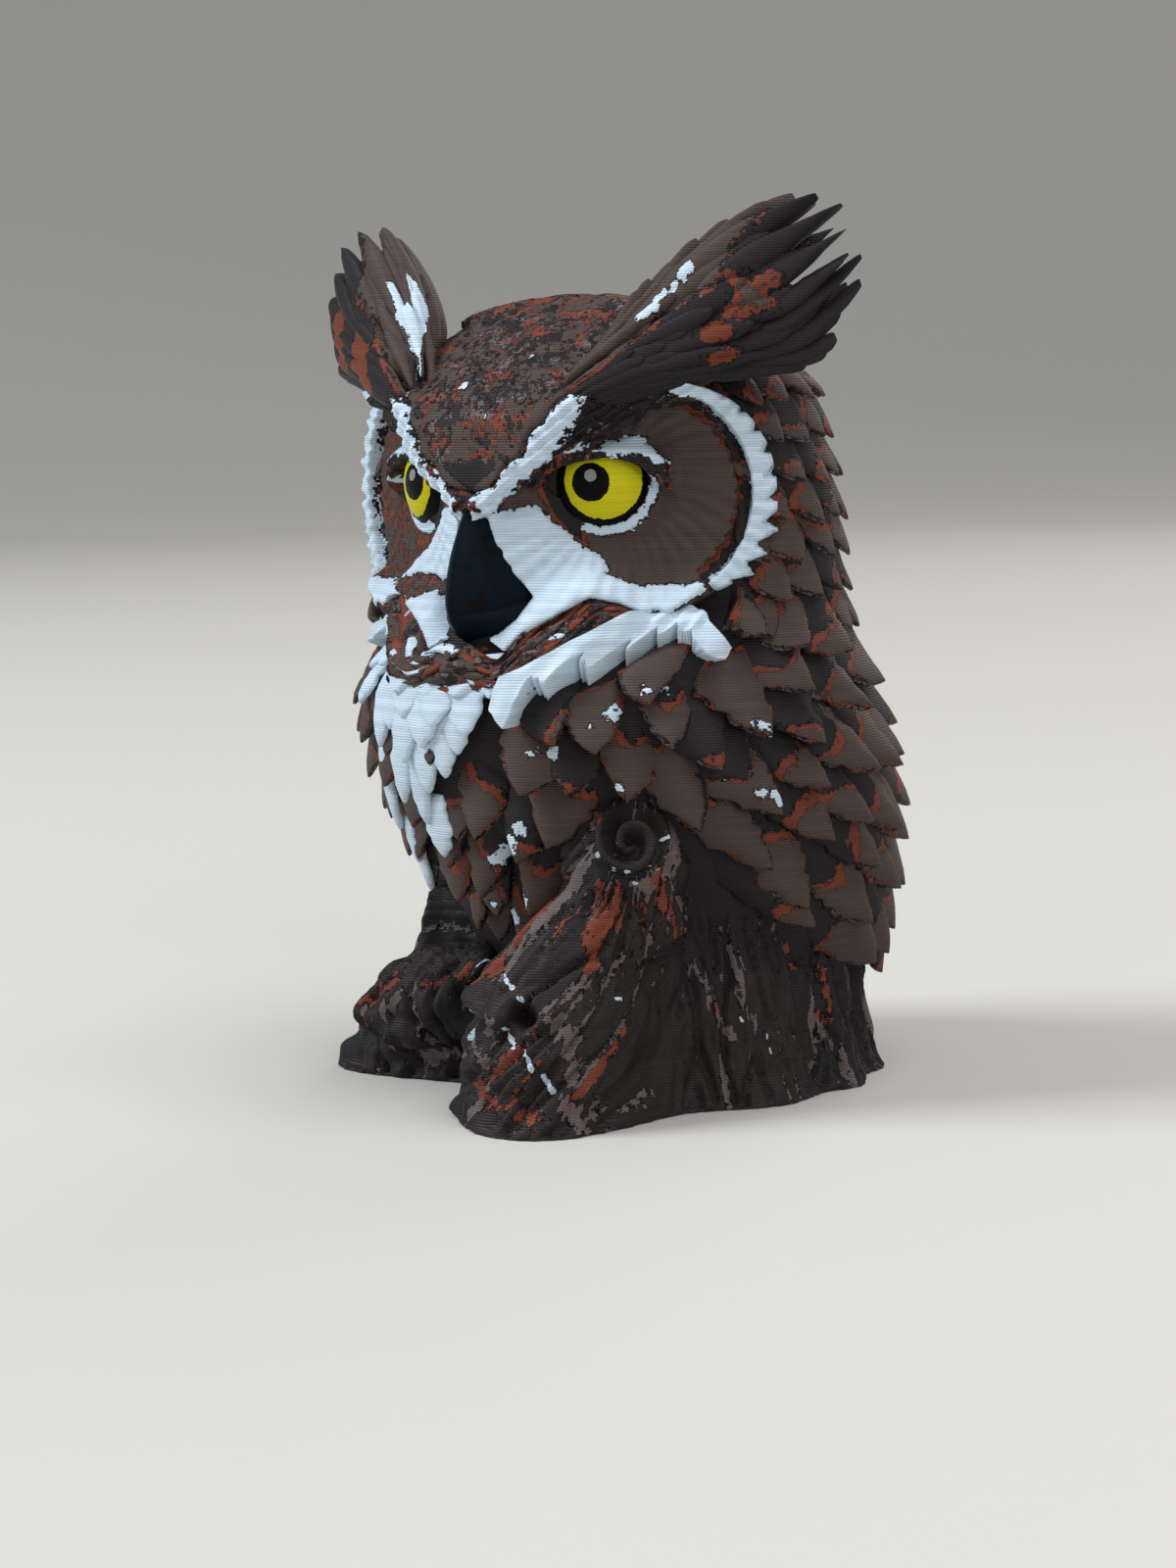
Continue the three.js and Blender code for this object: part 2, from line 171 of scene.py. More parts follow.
def makeStudio():
    bm = bmesh.new()               # a round dish: a flat floor whose edge rises far away
    flatRadius, edge = studio["flatRadius"], studio["edge"]
    bmesh.ops.create_circle(bm, cap_ends=True, segments=96, radius=flatRadius)
    rim = [e for e in bm.edges if e.is_boundary]
    for step in range(studio["steps"]):
        turn = (step + 1) / studio["steps"] * math.pi / 2
        made = bmesh.ops.extrude_edge_only(bm, edges=rim)["geom"]
        rim = [g for g in made if isinstance(g, bmesh.types.BMEdge) and g.is_boundary]
        for vert in {v for e in rim for v in e.verts}:
            flat = Vector((vert.co.x, vert.co.y, 0)).normalized() * (flatRadius + edge * math.sin(turn))
            vert.co = (flat.x, flat.y, edge * (1 - math.cos(turn)))
    mesh = bpy.data.meshes.new("floor")
    bm.to_mesh(mesh)
    bm.free()
    mesh.shade_smooth()
    floor = bpy.data.objects.new("floor", mesh)
    bpy.context.scene.collection.objects.link(floor)
    paper = bpy.data.materials.new("floorPaper")
    paper.use_nodes = True
    shader = paper.node_tree.nodes["Principled BSDF"]
    shader.inputs["Base Color"].default_value = (*studio["floor"], 1)
    shader.inputs["Roughness"].default_value = studio["roughness"]
    mesh.materials.append(paper)
    for name, place, size, watts, colour in studio["lamps"]:
        data = bpy.data.lights.new(name, "AREA")
        data.size, data.energy, data.color = size, watts, colour
        lamp = bpy.data.objects.new(name, data)
        turn = (Vector(studio["aim"]) - Vector(place)).to_track_quat("-Z", "Y")
        lamp.matrix_world = Matrix.Translation(place) @ turn.to_matrix().to_4x4()
        bpy.context.scene.collection.objects.link(lamp)
    world = bpy.data.worlds.new("air")
    bpy.context.scene.world = world
    world.use_nodes = True
    sky = world.node_tree.nodes["Background"]
    sky.inputs["Color"].default_value = (*studio["air"], 1)
    sky.inputs["Strength"].default_value = studio["airStrength"]
    bpy.context.scene.view_settings.view_transform = "Standard"
    print("studio ready")


makeCamera()
makeStudio()


# shader maths

class Wire:
    # a node socket that can be used in plain arithmetic
    def __init__(self, tree, socket):
        self.tree, self.socket = tree, socket

    def node(self, kind, settings=None, inputs=None, out=0):
        made = self.tree.nodes.new("ShaderNode" + kind)
        for name, value in (settings or {}).items():
            setattr(made, name, value)
        for key, value in (inputs or {}).items():
            if isinstance(value, Wire):
                self.tree.links.new(value.socket, made.inputs[key])
            else:
                made.inputs[key].default_value = value
        return Wire(self.tree, made.outputs[out])

    def math(self, operation, *values):
        return self.node("Math", {"operation": operation}, dict(enumerate(values)))

    def __add__(self, other):
        return self.math("ADD", self, other)

    def __radd__(self, other):
        return self.math("ADD", other, self)

    def __sub__(self, other):
        return self.math("SUBTRACT", self, other)

    def __rsub__(self, other):
        return self.math("SUBTRACT", other, self)

    def __mul__(self, other):
        return self.math("MULTIPLY", self, other)

    def __rmul__(self, other):
        return self.math("MULTIPLY", other, self)

    def __truediv__(self, other):
        return self.math("DIVIDE", self, other)

    def __rtruediv__(self, other):
        return self.math("DIVIDE", other, self)

    def __gt__(self, other):
        return self.math("GREATER_THAN", self, other)

    def __lt__(self, other):
        return self.math("LESS_THAN", self, other)

    def above(self, low, high):        # 0 below low, 1 above high, smooth between
        return self.node("MapRange", {"interpolation_type": "SMOOTHSTEP"},
                         {"Value": self, "From Min": low, "From Max": high})

    def blend(self, first, second):    # a colour mixed by this mask
        return self.node("Mix", {"data_type": "RGBA"}, {0: self, 6: first, 7: second}, 2)

    def parts(self, kind="SeparateXYZ", key="Vector"):
        return [self.node(kind, None, {key: self}, i) for i in range(3)]

    def moved(self, offset):
        return self.node("VectorMath", {"operation": "ADD"}, {0: self, 1: offset})

    def stretched(self, scale):
        return self.node("VectorMath", {"operation": "MULTIPLY"}, {0: self, 1: scale})

    def noise(self, perMm, detail=2.0, out=0):
        return self.node("TexNoise", None, {"Vector": self, "Scale": perMm / mm, "Detail": detail}, out)


filament = {           # linear colours of the spools, and a near-black colour for painted crevice shade in pits and seams
    "charcoal": (0.0185, 0.0155, 0.0172, 1), "brown": (0.070, 0.050, 0.044, 1),
    "rust": (0.165, 0.040, 0.022, 1), "mauve": (0.125, 0.098, 0.098, 1),
    "white": (0.57, 0.70, 0.83, 1), "pitShade": (0.006, 0.004, 0.004, 1),
    "yellow": (0.56, 0.52, 0.012, 1), "beak": (0.0016, 0.0058, 0.0125, 1),
    "pupil": (0.003, 0.003, 0.0035, 1), "glint": (0.24, 0.24, 0.25, 1),
}
layer = {"height": 0.2, "relief": 0.035, "shade": 0.16, "grooveShade": 0.3}
plastic = {"ior": 1.46, "specular": 0.16}


def newMaterial(name, roughness, specular=plastic["specular"]):
    material = bpy.data.materials.new(name)
    material.use_nodes = True
    tree = material.node_tree
    shader = tree.nodes["Principled BSDF"]
    shader.inputs["Roughness"].default_value = roughness
    shader.inputs["IOR"].default_value = plastic["ior"]
    shader.inputs["Specular IOR Level"].default_value = specular
    place = Wire(tree, tree.nodes.new("ShaderNodeTexCoord").outputs["Object"])
    return material, tree, shader, place


def layerLines(place):
    # the level lines of the print, and the same place snapped to the middle of its line
    x, y, z = place.parts()
    count = z / (layer["height"] * mm)
    line = count.math("FLOOR", count)
    ridge = (count - line - 0.5).math("ABSOLUTE", count - line - 0.5)
    middle = (line + 0.5) * (layer["height"] * mm)
    snapped = z.node("CombineXYZ", None, {"X": x, "Y": y, "Z": middle})
    tint = line.node("TexWhiteNoise", {"noise_dimensions": "1D"}, {"W": line})
    return snapped, ridge, tint


def finishShader(tree, shader, colour, height, ridge, tint, lines=1.0):
    # height is in millimetres
    relief = height - ridge * ridge * (4 * layer["relief"] * lines)
    normal = relief.node("Bump", None, {"Height": relief * mm, "Distance": 1.0, "Strength": 1.0})
    shade = 1 + (tint - 0.5) * layer["shade"] - ridge.above(0.36, 0.5) * layer["grooveShade"] * lines
    final = colour.node("VectorMath", {"operation": "SCALE"}, {0: colour, "Scale": shade})
    tree.links.new(final.socket, shader.inputs["Base Color"])
    tree.links.new(normal.socket, shader.inputs["Normal"])


def storedFields(place):
    # every point carries how far, in mm, it lies inside white, brown, rust and mauve filament
    stored = place.node("Attribute", {"attribute_name": "filament"})
    mauve = Wire(place.tree, stored.socket.node.outputs["Alpha"])
    return (*stored.parts("SeparateColor", "Color"), mauve)


plumage = {
    "roughness": 0.5,
    "wide": 0.55, "close": 1.7, "fine": 3.2,       # noise cells in a millimetre
    # how far each noise shifts the edge of a patch, in mm, and what full speckle adds to it
    "wideShift": 1.5, "wideLoose": 5.0, "closeShift": 1.1, "closeLoose": 3.2, "fineShift": 0.5,
    "seamShadeAmount": 0.55, "whiteEdge": 0.8,           # how dark the painted shade lines round brown and white are
    # how far each colour stands out, in mm
    "brownStep": 0.07, "rustStep": 0.04, "whiteStep": 0.12, "pitDepth": 0.12, "grit": 0.03,
}


def makePlumagePrint():
    material, tree, shader, place = newMaterial("printedPlumage", plumage["roughness"])
    snapped, ridge, tint = layerLines(place)
    white, brown, rust, mauve = storedFields(place)
    speckle = place.node("Attribute", {"attribute_name": "speckle"}, out=2)
    wide = snapped.noise(plumage["wide"], 3.0, 1)
    close = snapped.moved((0.031, 0.017, 0.053)).noise(plumage["close"], 2.0, 1)
    fine = snapped.moved((0.011, 0.057, 0.023)).noise(plumage["fine"], 1.0, 1)
    wideParts = wide.parts("SeparateColor", "Color")
    closeParts = close.parts("SeparateColor", "Color")
    fineParts = fine.parts("SeparateColor", "Color")
    spread = plumage["wideShift"] + speckle * plumage["wideLoose"]
    closeSpread = plumage["closeShift"] + speckle * plumage["closeLoose"]
    edge = []
    for stack, field in enumerate((white, brown, rust)):
        jag = (wideParts[stack] - 0.5) * spread + (closeParts[stack] - 0.5) * closeSpread
        edge.append(field + jag + (fineParts[stack] - 0.5) * plumage["fineShift"])
    edge.append(mauve + (closeParts[1] - wideParts[0]) * spread)
    w, b, r, m = edge
    colour = (m > 0).blend(filament["charcoal"], filament["mauve"])
    colour = (r > 0).blend(colour, filament["rust"])
    colour = (b > 0).blend(colour, filament["brown"])
    paint = b.math("MAXIMUM", b, r)
    near = 1 - paint.math("ABSOLUTE", paint).above(0.02, 0.30)
    # painted crevice shade: jagged pits near the edges of brown and rust are dented and painted near black
    pitShade = near * (fineParts[2] + closeParts[0] * 0.5).above(0.80, 0.86)
    # painted shade: a near-black line along the edge of each brown patch, where the crevice between colours
    # would be dark
    seamShade = (1 - b.math("ABSOLUTE", b).above(0.0, 0.09)) * plumage["seamShadeAmount"]
    colour = pitShade.math("MAXIMUM", pitShade, seamShade).blend(colour, filament["pitShade"])
    chalk = w > 0
    # painted shade: a near-black line just outside the white, as if shadowed by its raised edge
    whiteRimShade = (1 - w.math("ABSOLUTE", w + 0.07).above(0.03, 0.11)) * plumage["whiteEdge"]
    colour = whiteRimShade.blend(colour, filament["pitShade"])
    colour = chalk.blend(colour, filament["white"])
    height = b.above(-0.08, 0.10) * plumage["brownStep"] + r.above(-0.08, 0.08) * plumage["rustStep"]
    height = (height - pitShade * plumage["pitDepth"]) * (1 - chalk)
    height = height + w.above(-0.1, 0.12) * plumage["whiteStep"] + fineParts[0] * plumage["grit"]
    finishShader(tree, shader, colour, height, ridge, tint)
    return material


plumagePrint = makePlumagePrint()
print("plumage material ready")


# the body's plain skin, as the solid has it

body = {
    "floor": 8, "dome": 52, "rise": 11, "top": 63,
    "headTurn": math.radians(12), "neckLow": 32, "neckHigh": 39,
    "stations": vectors([       # half width, front and back, every 4 mm of height
        (15.5, -7.0, 22.0), (16.8, -8.6, 23.8), (18.0, -11.0, 24.6), (19.2, -13.6, 24.6),
        (19.9, -15.6, 24.0), (20.0, -17.0, 22.8), (19.7, -17.4, 21.2), (18.9, -16.4, 19.0),
        (18.3, -15.3, 17.6), (18.3, -15.3, 17.2), (18.2, -15.6, 16.5), (17.5, -13.8, 15.2)]),
    "roundness": (2, 2.4), "domePower": 1.5,     # power of the outline in body and head
    "faceRidge": -15.3, "faceSlope": 0.6, "faceHeight": 47.3, "faceHalf": 8.0, "faceFall": 0.7,
    "girth": 19.5,                     # millimetres round for each radian
    # the lowest feather tips: height at breast, shoulder and tail, and the azimuth of each
    "tips": (13.2, 20.5, 8.8), "tipsAt": (10, 48, 135),
}
skinSteps = {"azimuth": math.radians(2), "height": 0.5, "turn": 0.02, "lift": 0.3}
skinTable = {}


def headTurnAt(z):
    return body["headTurn"] * smooth(z, body["neckLow"], body["neckHigh"])


def turned(point, angle):
    c, s = math.cos(angle), math.sin(angle)
    return Vector((c * point.x - s * point.y, s * point.x + c * point.y, point.z))


def skin(azimuth, z):
    rise = min(1, max(0, (z - body["dome"]) / body["rise"]))
    shrink = math.sqrt(1 - rise * rise)
    half, front, back = through(body["stations"], (z - body["floor"]) / (body["dome"] - body["floor"]))
    power = 2 / mix(*body["roundness"], smooth(z, body["neckLow"], body["neckHigh"]))
    depth = (back - front) / 2 * shrink ** body["domePower"]
    x = half * shrink * signedPower(math.sin(azimuth), power)
    y = (front + back) / 2 * shrink - depth * signedPower(math.cos(azimuth), power)
    outside = max(0, abs(z - body["faceHeight"]) - body["faceHalf"])
    y = max(y, body["faceRidge"] + body["faceSlope"] * abs(x) - body["faceFall"] * outside)
    return turned(Vector((x, y, z)), headTurnAt(z))


def skinNormal(azimuth, z):
    turn, lift = skinSteps["turn"], skinSteps["lift"]
    around = skin(azimuth + turn, z) - skin(azimuth - turn, z)
    upward = skin(azimuth, z + lift) - skin(azimuth, z - lift)
    return around.cross(upward).normalized()


def onSkin(azimuth, z, height):    # a point over the skin, from a table filled as it is needed
    a, b = azimuth / skinSteps["azimuth"], z / skinSteps["height"]
    i, j = math.floor(a), math.floor(b)
    corners = []
    for key in ((i, j), (i + 1, j), (i, j + 1), (i + 1, j + 1)):
        if key not in skinTable:
            spot = key[0] * skinSteps["azimuth"], key[1] * skinSteps["height"]
            skinTable[key] = (skin(*spot), skinNormal(*spot))
        corners.append(skinTable[key][0] + skinTable[key][1] * height)
    low, high = corners[0].lerp(corners[1], a - i), corners[2].lerp(corners[3], a - i)
    return low.lerp(high, b - j)


def lowestTips(degrees):           # height of the lowest feather tips, from breast to tail
    breast, shoulder, tail = body["tips"]
    breastAt, shoulderAt, tailAt = body["tipsAt"]
    front = mix(breast, shoulder, smooth(abs(degrees), breastAt, shoulderAt))
    return mix(front, tail, smooth(abs(degrees), shoulderAt, tailAt))


skull = {
    "columns": 340, "rows": 190, "domeShare": 0.70,
    "relief": 0.16, "groove": 0.14, "grooves": 14,
    "foreheadLow": 44.5, "browSink": 2.2, "bridgeSink": 2.0,
    "spots": [(1.2, 53.4), (5.6, 57.6), (3.4, 55.2), (-2.0, 55.9), (2.6, 58.4)],      # white, x and z
    "spotRadius": 0.22,
    # the forehead's middle, and its edge along the white brows: height, then y or x and y
    "middle": [
        (44.5, -14.6), (46.0, -15.0), (47.6, -15.4), (50.3, -15.8), (53.0, -15.6), (55.0, -14.6),
        (57.0, -12.6), (60.0, -8.4), (63, -2)],
    "edgeX": [
        (44.5, 0.6), (46.5, 0.9), (47.7, 1.5), (49.2, 3.6), (50.3, 5.1), (53.0, 6.9), (55.0, 8.8),
        (60, 10)],
    "edgeY": [
        (44.5, -15.2), (47.7, -16.0), (49.2, -16.0), (50.3, -15.7), (53.0, -14.9), (55.0, -13.6),
        (57.0, -10.5), (60, -4)],
}


def foreheadFront(x, z):
    half, edge = lineValue(skull["edgeX"], z), lineValue(skull["edgeY"], z)
    beyond = max(0, x - half)
    return mix(lineValue(skull["middle"], z), edge, min(1, x / half) ** 2) + 1.4 * beyond + beyond ** 2


def skullPaint(head):
    # blotches that grow finer and darker between the brows, with a plain strip beside them
    x, z = abs(head.x), head.z
    half = lineValue(skull["edgeX"], z)
    low = smooth(z, 55.5, 51.5) * smooth(x, half + 2, half) * (1 if head.y < 0 else 0)
    strip = (1.0 - abs(half - 1.0 - x)) if z < 56 and head.y < 0 and z > 48 else -2
    crown = smooth(z, 49.0, 51.0)
    brown = max(mix(-1.2, -0.06 - 0.08 * low, crown), strip * 0.9 if strip > 0 else -2)
    rust = mix(-1.5, -0.20 + 0.2 * smooth(z, 58, 62) + 0.18 * low, crown)
    spots = (skull["spotRadius"] - math.hypot(head.x - a, (z - b) * 1.6) for a, b in skull["spots"])
    white = max(-2.2, *spots)
    return (white, brown, rust, mix(-1.0, -0.12 + 0.15 * low, crown)), crown * mix(0.12, 0.8, low)


def makeSkull():
    bm, fields, speckle = newMesh()
    share = skull["domeShare"]

    def place(vert, across, along):
        azimuth = (across - 0.5) * 2 * math.pi
        if along == 0:
            vert.co = (0, 4, body["floor"])
            return
        z = mix(body["floor"], body["dome"], min(1, (along - 1 / skull["rows"]) / share))
        if along > share:
            z = body["dome"] + body["rise"] * math.sin((along - share) / (1 - share) * math.pi / 2)
        flat = skin(azimuth, z) if along < 1 else Vector((0, 0, body["top"]))
        head = turned(flat, -headTurnAt(z))
        if head.y < 0 and z > skull["foreheadLow"]:
            head.y = min(head.y, foreheadFront(abs(head.x), z))
            s = (abs(head.x) - face["eye"][0]) * faceAcross.x + (head.y - face["eye"][1]) * faceAcross.y
            underBrow = smooth(inside(face["shapes"]["brow"], s, z - face["eye"][2]), -0.3, 0.3)
            head.y += skull["browSink"] * underBrow
            head.y += skull["bridgeSink"] * smooth(z, 47.2, 46.2) * smooth(abs(head.x), 0.5, 1.2)
            flat = turned(head, headTurnAt(z))
        grain = noise.noise(flat * 0.9) * skull["relief"] * smooth(z, 49, 53)
        wave = max(0, math.sin(azimuth * skull["grooves"] + flat.y * 0.4)) ** 6
        groove = -skull["groove"] * wave * smooth(z, 53, 57)
        if along < 1:
            flat = flat + Vector((flat.x, flat.y, 6)).normalized() * (grain + groove)
        vert.co = flat
        vert[fields], vert[speckle] = skullPaint(head)

    warpedGrid(bm, skull["columns"], skull["rows"], place)
    return finishPiece(bm, "skull", plumagePrint)


# one feather: a closed plate with a blunt root and a pointed tip, laid on any surface

def featherOutline(v, feather):    # half width from root to tip, as a share of the full half width
    begin = feather["tipFrom"]
    root = 0.62 + 0.38 * math.sin(min(1, v / (begin + 0.05)) * math.pi / 2)
    tip = max(0, (v - begin) / (1 - begin))
    return root * max(0, 1 - tip ** feather["tipPower"]) ** feather["tipRound"]


def featherForm(sides, rings):     # one plain ball, kept to be bent into each feather in turn
    if (sides, rings) not in forms:
        bm, fields, speckle = newMesh()
        verts = bmesh.ops.create_uvsphere(bm, u_segments=sides, v_segments=rings, radius=1)["verts"]
        spots = []
        for vert in verts:
            reach = math.hypot(vert.co.x, vert.co.y)
            u = signedPower(vert.co.x / reach, 0.75) if reach > 1e-3 else 0
            rise = signedPower(vert.co.y / reach, 0.55) if reach > 1e-3 else 0
            spots.append((vert, u, (1 + vert.co.z) / 2, rise, min(1, reach * 1.5)))
        forms[sides, rings] = (bm, spots, fields, speckle, bpy.data.meshes.new("feather"))
    return forms[sides, rings]


forms = {}


def addFeather(bm, place, feather, paint):
    # place(across, along, height) gives a point, with the root at along 0
    form, spots, fields, speckle, sheet = featherForm(feather["sides"], feather["rings"])
    seed, ragged = feather["seed"], feather["ragged"]
    for vert, u, v, rise, fullness in spots:
        coarse = noise.noise(Vector((u * 2, v * 9, seed)))
        wave = 1 + ragged * (coarse + 0.6 * noise.noise(Vector((u * 3, v * 29, seed))))
        across = u * feather["width"] / 2 * featherOutline(v, feather) * wave
        crown = feather["thick"] * feather["crown"] * (1 - u * u)
        height = mix(feather["sunk"], feather["lift"], v ** feather["rise"])
        height += feather["thick"] / 2 * rise * fullness + (crown if rise > 0 else 0)
        vert[fields] = paint(u, v, across)
        vert[speckle] = feather.get("speckle", 0)
        vert.co = place(across, v * feather["length"], height)
    form.to_mesh(sheet)
    bm.from_mesh(sheet)


def bodyPlace(azimuth, z, lean):
    # a feather hangs from its root at this azimuth and height, leaning by an angle to the back
    c, s = math.cos(lean), math.sin(lean)

    def place(across, along, height):
        drop = along * c - across * s
        aside = along * s + across * c
        atZ = max(body["floor"] + 0.2, z - drop)
        at = azimuth + aside / body["girth"]
        return onSkin(at, atZ, height)
    return place


plumes = {
    # rows of alike feathers: where they stand, then their size
    "breast": {"rows": 7, "low": 12.6, "pitch": 2.95, "step": 15.5, "edge": 62, "top": 31.0,
               "columns": (-4, 1), "width": 5.9, "length": 6.8, "browns": (1.2, 2.2, 3.0, 3.4)},
    "wing": {"rows": 8, "pitch": 3.25, "top": 35.2, "slope": 0.07, "step": 14.5, "first": 60,
             "columns": (0, 10), "front": 125, "back": 186, "width": 6.8, "length": 10.5,
             "browns": (1.2, 2.6, 3.8, 4.8)},
    "nape": {"rows": 7, "low": 36.0, "pitch": 3.0, "step": 10.8, "front": 80, "back": 184,
             "columns": (0, 12), "width": 4.2, "length": 6.6, "browns": (1.4, 2.2, 3.2)},
    # how each sort of feather is cut
    "cuts": {
        "plate": {"thick": 0.85, "lift": 2.1, "sunk": -0.9, "tipFrom": 0.42, "tipPower": 1.7,
                  "tipRound": 0.8, "rise": 1.5, "crown": 0.45, "sides": 24, "rings": 30,
                  "ragged": 0.3, "speckle": 0.03},
        "breast": {"thick": 0.6, "lift": 1.5, "sunk": -0.5, "tipFrom": 0.42, "tipPower": 1.7,
                   "tipRound": 0.85, "rise": 1.7, "crown": 0.15, "sides": 20, "rings": 16, "ragged": 0.22},
        "bib": {"thick": 0.55, "lift": 1.35, "sunk": 0.5, "tipFrom": 0.4, "tipPower": 1.8,
                "tipRound": 0.75, "rise": 0.8, "crown": 0.25, "sides": 20, "rings": 16, "ragged": 0.35},
        "wing": {"thick": 0.7, "lift": 1.95, "sunk": -0.8, "tipFrom": 0.5, "tipPower": 1.55,
                 "tipRound": 0.9, "rise": 1.7, "crown": 0.4, "sides": 20, "rings": 18, "ragged": 0.2},
        "nape": {"thick": 0.55, "lift": 1.25, "sunk": -0.4, "tipFrom": 0.45, "tipPower": 1.8,
                 "tipRound": 0.85, "rise": 1.5, "crown": 0.15, "sides": 16, "rings": 14, "ragged": 0.12},
    },
    # the brown plate on a feather, in mm: its slant, the rust line and the dark rim round it
    "slant": 1.3, "line": (0.3, 0.9), "chevronShare": 0.3, "chevron": 2.4, "blunt": (-1.0, 0.8),
    "patchy": (-0.45, 0.1), "rim": 0.32,
    "fleckedTo": 100,                  # flecks fall on feathers in front of this azimuth
    "fleckGirth": 19,                  # millimetres round for each radian, where flecks are placed
    # white leaves on the breast: azimuth and height of the tip, length, width
    "bib": [
        (4, 32.0, 3.2, 4.2), (13, 32.2, 3.2, 4.0), (-5, 32.2, 3.2, 3.6), (21, 32.0, 4.0, 3.4),
        (-3, 30.6, 4.2, 4.0), (7, 30.2, 4.2, 3.8), (-9, 29.6, 5.0, 3.4), (15, 29.6, 4.8, 3.4),
        (3, 28.6, 5.4, 3.8), (12, 28.2, 5.4, 3.0), (-14, 28.2, 6.2, 2.8), (-4, 27.4, 6.0, 3.4),
        (7, 26.4, 5.4, 3.0), (1, 25.2, 6.2, 3.0), (-9, 24.2, 6.0, 2.4), (-22, 21.4, 7.0, 2.1),
        (-4, 22.6, 6.5, 2.4), (-2, 20.2, 4.4, 3.1), (-21, 18.8, 3.6, 1.9), (-24, 16.4, 3.8, 1.9),
        (-19, 31.6, 3.4, 2.0), (-26, 31.0, 3.2, 2.2), (-23, 33.2, 2.6, 1.8), (-14, 33.4, 2.8, 1.9),
        (-29, 33.0, 2.8, 1.8), (-18, 35.0, 2.6, 1.8), (-25, 35.4, 2.6, 1.8)],
    # big plates of breast and wing: azimuth and height of the tip, length, width, lean, depth of brown
    "plates": [
        (55, 31.8, 6.4, 5.4, 10, 4.4), (43, 28.6, 6.0, 5.2, 2, 4.4), (58, 28.8, 5.6, 4.2, -8, 2.6),
        (35, 29.2, 5.6, 4.6, 20, 0.6), (47, 25.2, 6.2, 4.6, -16, 3.4), (26, 25.7, 6.2, 5.6, -18, 4.0),
        (36, 25.6, 5.8, 4.4, -14, 0.4), (28, 21.8, 6.6, 5.2, -28, 4.2), (12, 22.2, 6.0, 4.6, -8, 3.4),
        (20, 20.6, 6.6, 4.4, -26, 0.8), (17, 16.2, 6.4, 4.2, -32, 3.0), (5, 17.4, 6.0, 4.0, -20, 2.8),
        (10, 13.4, 6.0, 4.0, -24, 2.4), (-2, 14.4, 5.6, 3.8, -10, 2.0), (67, 27.0, 7.0, 5.2, 18, 0.6),
        (79, 29.0, 9.2, 5.9, 18, 6.6), (93, 32.0, 9.4, 4.8, 48, 2.4), (112, 29.9, 9.0, 4.6, 44, 3.8),
        (109, 25.3, 9.6, 5.0, 48, 3.6), (78, 23.4, 10.6, 6.4, 38, 3.2), (91, 24.9, 6.0, 4.4, 42, 2.6),
        (90, 21.0, 7.2, 5.2, 34, 2.6), (106, 18.1, 8.6, 5.4, 42, 2.8), (74, 19.5, 9.6, 5.4, 40, 5.6),
        (82, 15.9, 8.6, 6.2, 27, 5.2), (60, 22.8, 8.4, 5.6, 16, 5.4), (104, 13.6, 9.0, 5.8, 40, 4.2),
        (84, 14.2, 11.0, 5.4, 48, 2.6), (112, 10.2, 12.0, 6.6, 56, 6.0), (123, 10.4, 9.4, 5.8, 42, 3.6),
        (90, 35.1, 6.4, 4.4, 42, 3.8), (76, 36.4, 6.0, 3.6, 42, 2.8), (106, 34.3, 8.0, 4.4, 50, 3.0),
        (92, 28.0, 8.0, 5.6, 20, 1.4), (103, 21.7, 7.6, 4.6, 42, 3.4), (119, 15.6, 9.0, 5.2, 42, 3.6),
        (118, 20.4, 9.0, 5.2, 42, 3.2), (122, 25.0, 9.0, 5.4, 40, 4.4)],
    # small white flecks on the plumage of the front: azimuth, height and size
    "flecks": [
        (54, 32.8, 0.35), (59, 32.9, 0.3), (62, 34.4, 0.3), (48, 31.3, 0.45), (42, 30.5, 0.25),
        (33, 28.4, 0.4), (28, 28.4, 0.25), (78, 29.7, 0.6), (78, 24.6, 0.5), (74, 25.0, 0.25),
        (46, 26.3, 0.5), (47, 24.9, 0.35), (68, 26.3, 0.25), (1, 18.0, 0.5), (19, 21.6, 0.6),
        (22, 22.6, 0.4), (14, 20.0, 0.65), (11, 19.8, 0.4), (9, 15.3, 0.7), (4, 16.4, 0.4),
        (14, 16.0, 0.4), (4, 13.9, 0.4), (8, 13.6, 0.35), (17, 17.4, 0.35), (-50, 24.0, 0.6),
        (-60, 28.0, 0.5)],
}


def flecksNear(degrees, z):
    # how far inside the nearest white fleck, for a point given by azimuth and height
    return max(size - math.hypot((degrees - a) * 0.31, (z - b) * 1.15) for a, b, size in plumes["flecks"])


def platePaint(dice, feather, brownReach):
    # a dark root, a rust line, then a brown plate to the tip, with a thin dark rim round it
    slant, line = dice.uniform(-plumes["slant"], plumes["slant"]), dice.uniform(*plumes["line"])
    pointed = dice.random() < plumes["chevronShare"]
    chevron = plumes["chevron"] if pointed else dice.uniform(*plumes["blunt"])
    patchy = dice.uniform(*plumes["patchy"])

    def paint(u, v, across):
        rim = (1 - abs(u)) * feather["width"] * 0.7 * featherOutline(v, feather)
        plate = brownReach - (1 - v) * feather["length"] + slant * u + chevron * u * u
        rust = min(plate + line, rim - 0.1 + patchy)
        return (-3, min(plate, rim - plumes["rim"]), rust, min(plate + 0.4, 0.1 - rim))
    return paint


def withFlecks(paint, degrees, tipZ, length, lean, side):
    # the same paint with the white flecks that fall on this feather
    def flecked(u, v, across):
        back = (1 - v) * length
        aside = back * math.sin(lean) - across * math.cos(lean)
        at = degrees - math.degrees(aside / plumes["fleckGirth"])
        z = tipZ + back * math.cos(lean) + across * math.sin(lean)
        white, *others = paint(u, v, across)
        return (max(white, -3, flecksNear(side * at, z)), *others)
    return flecked


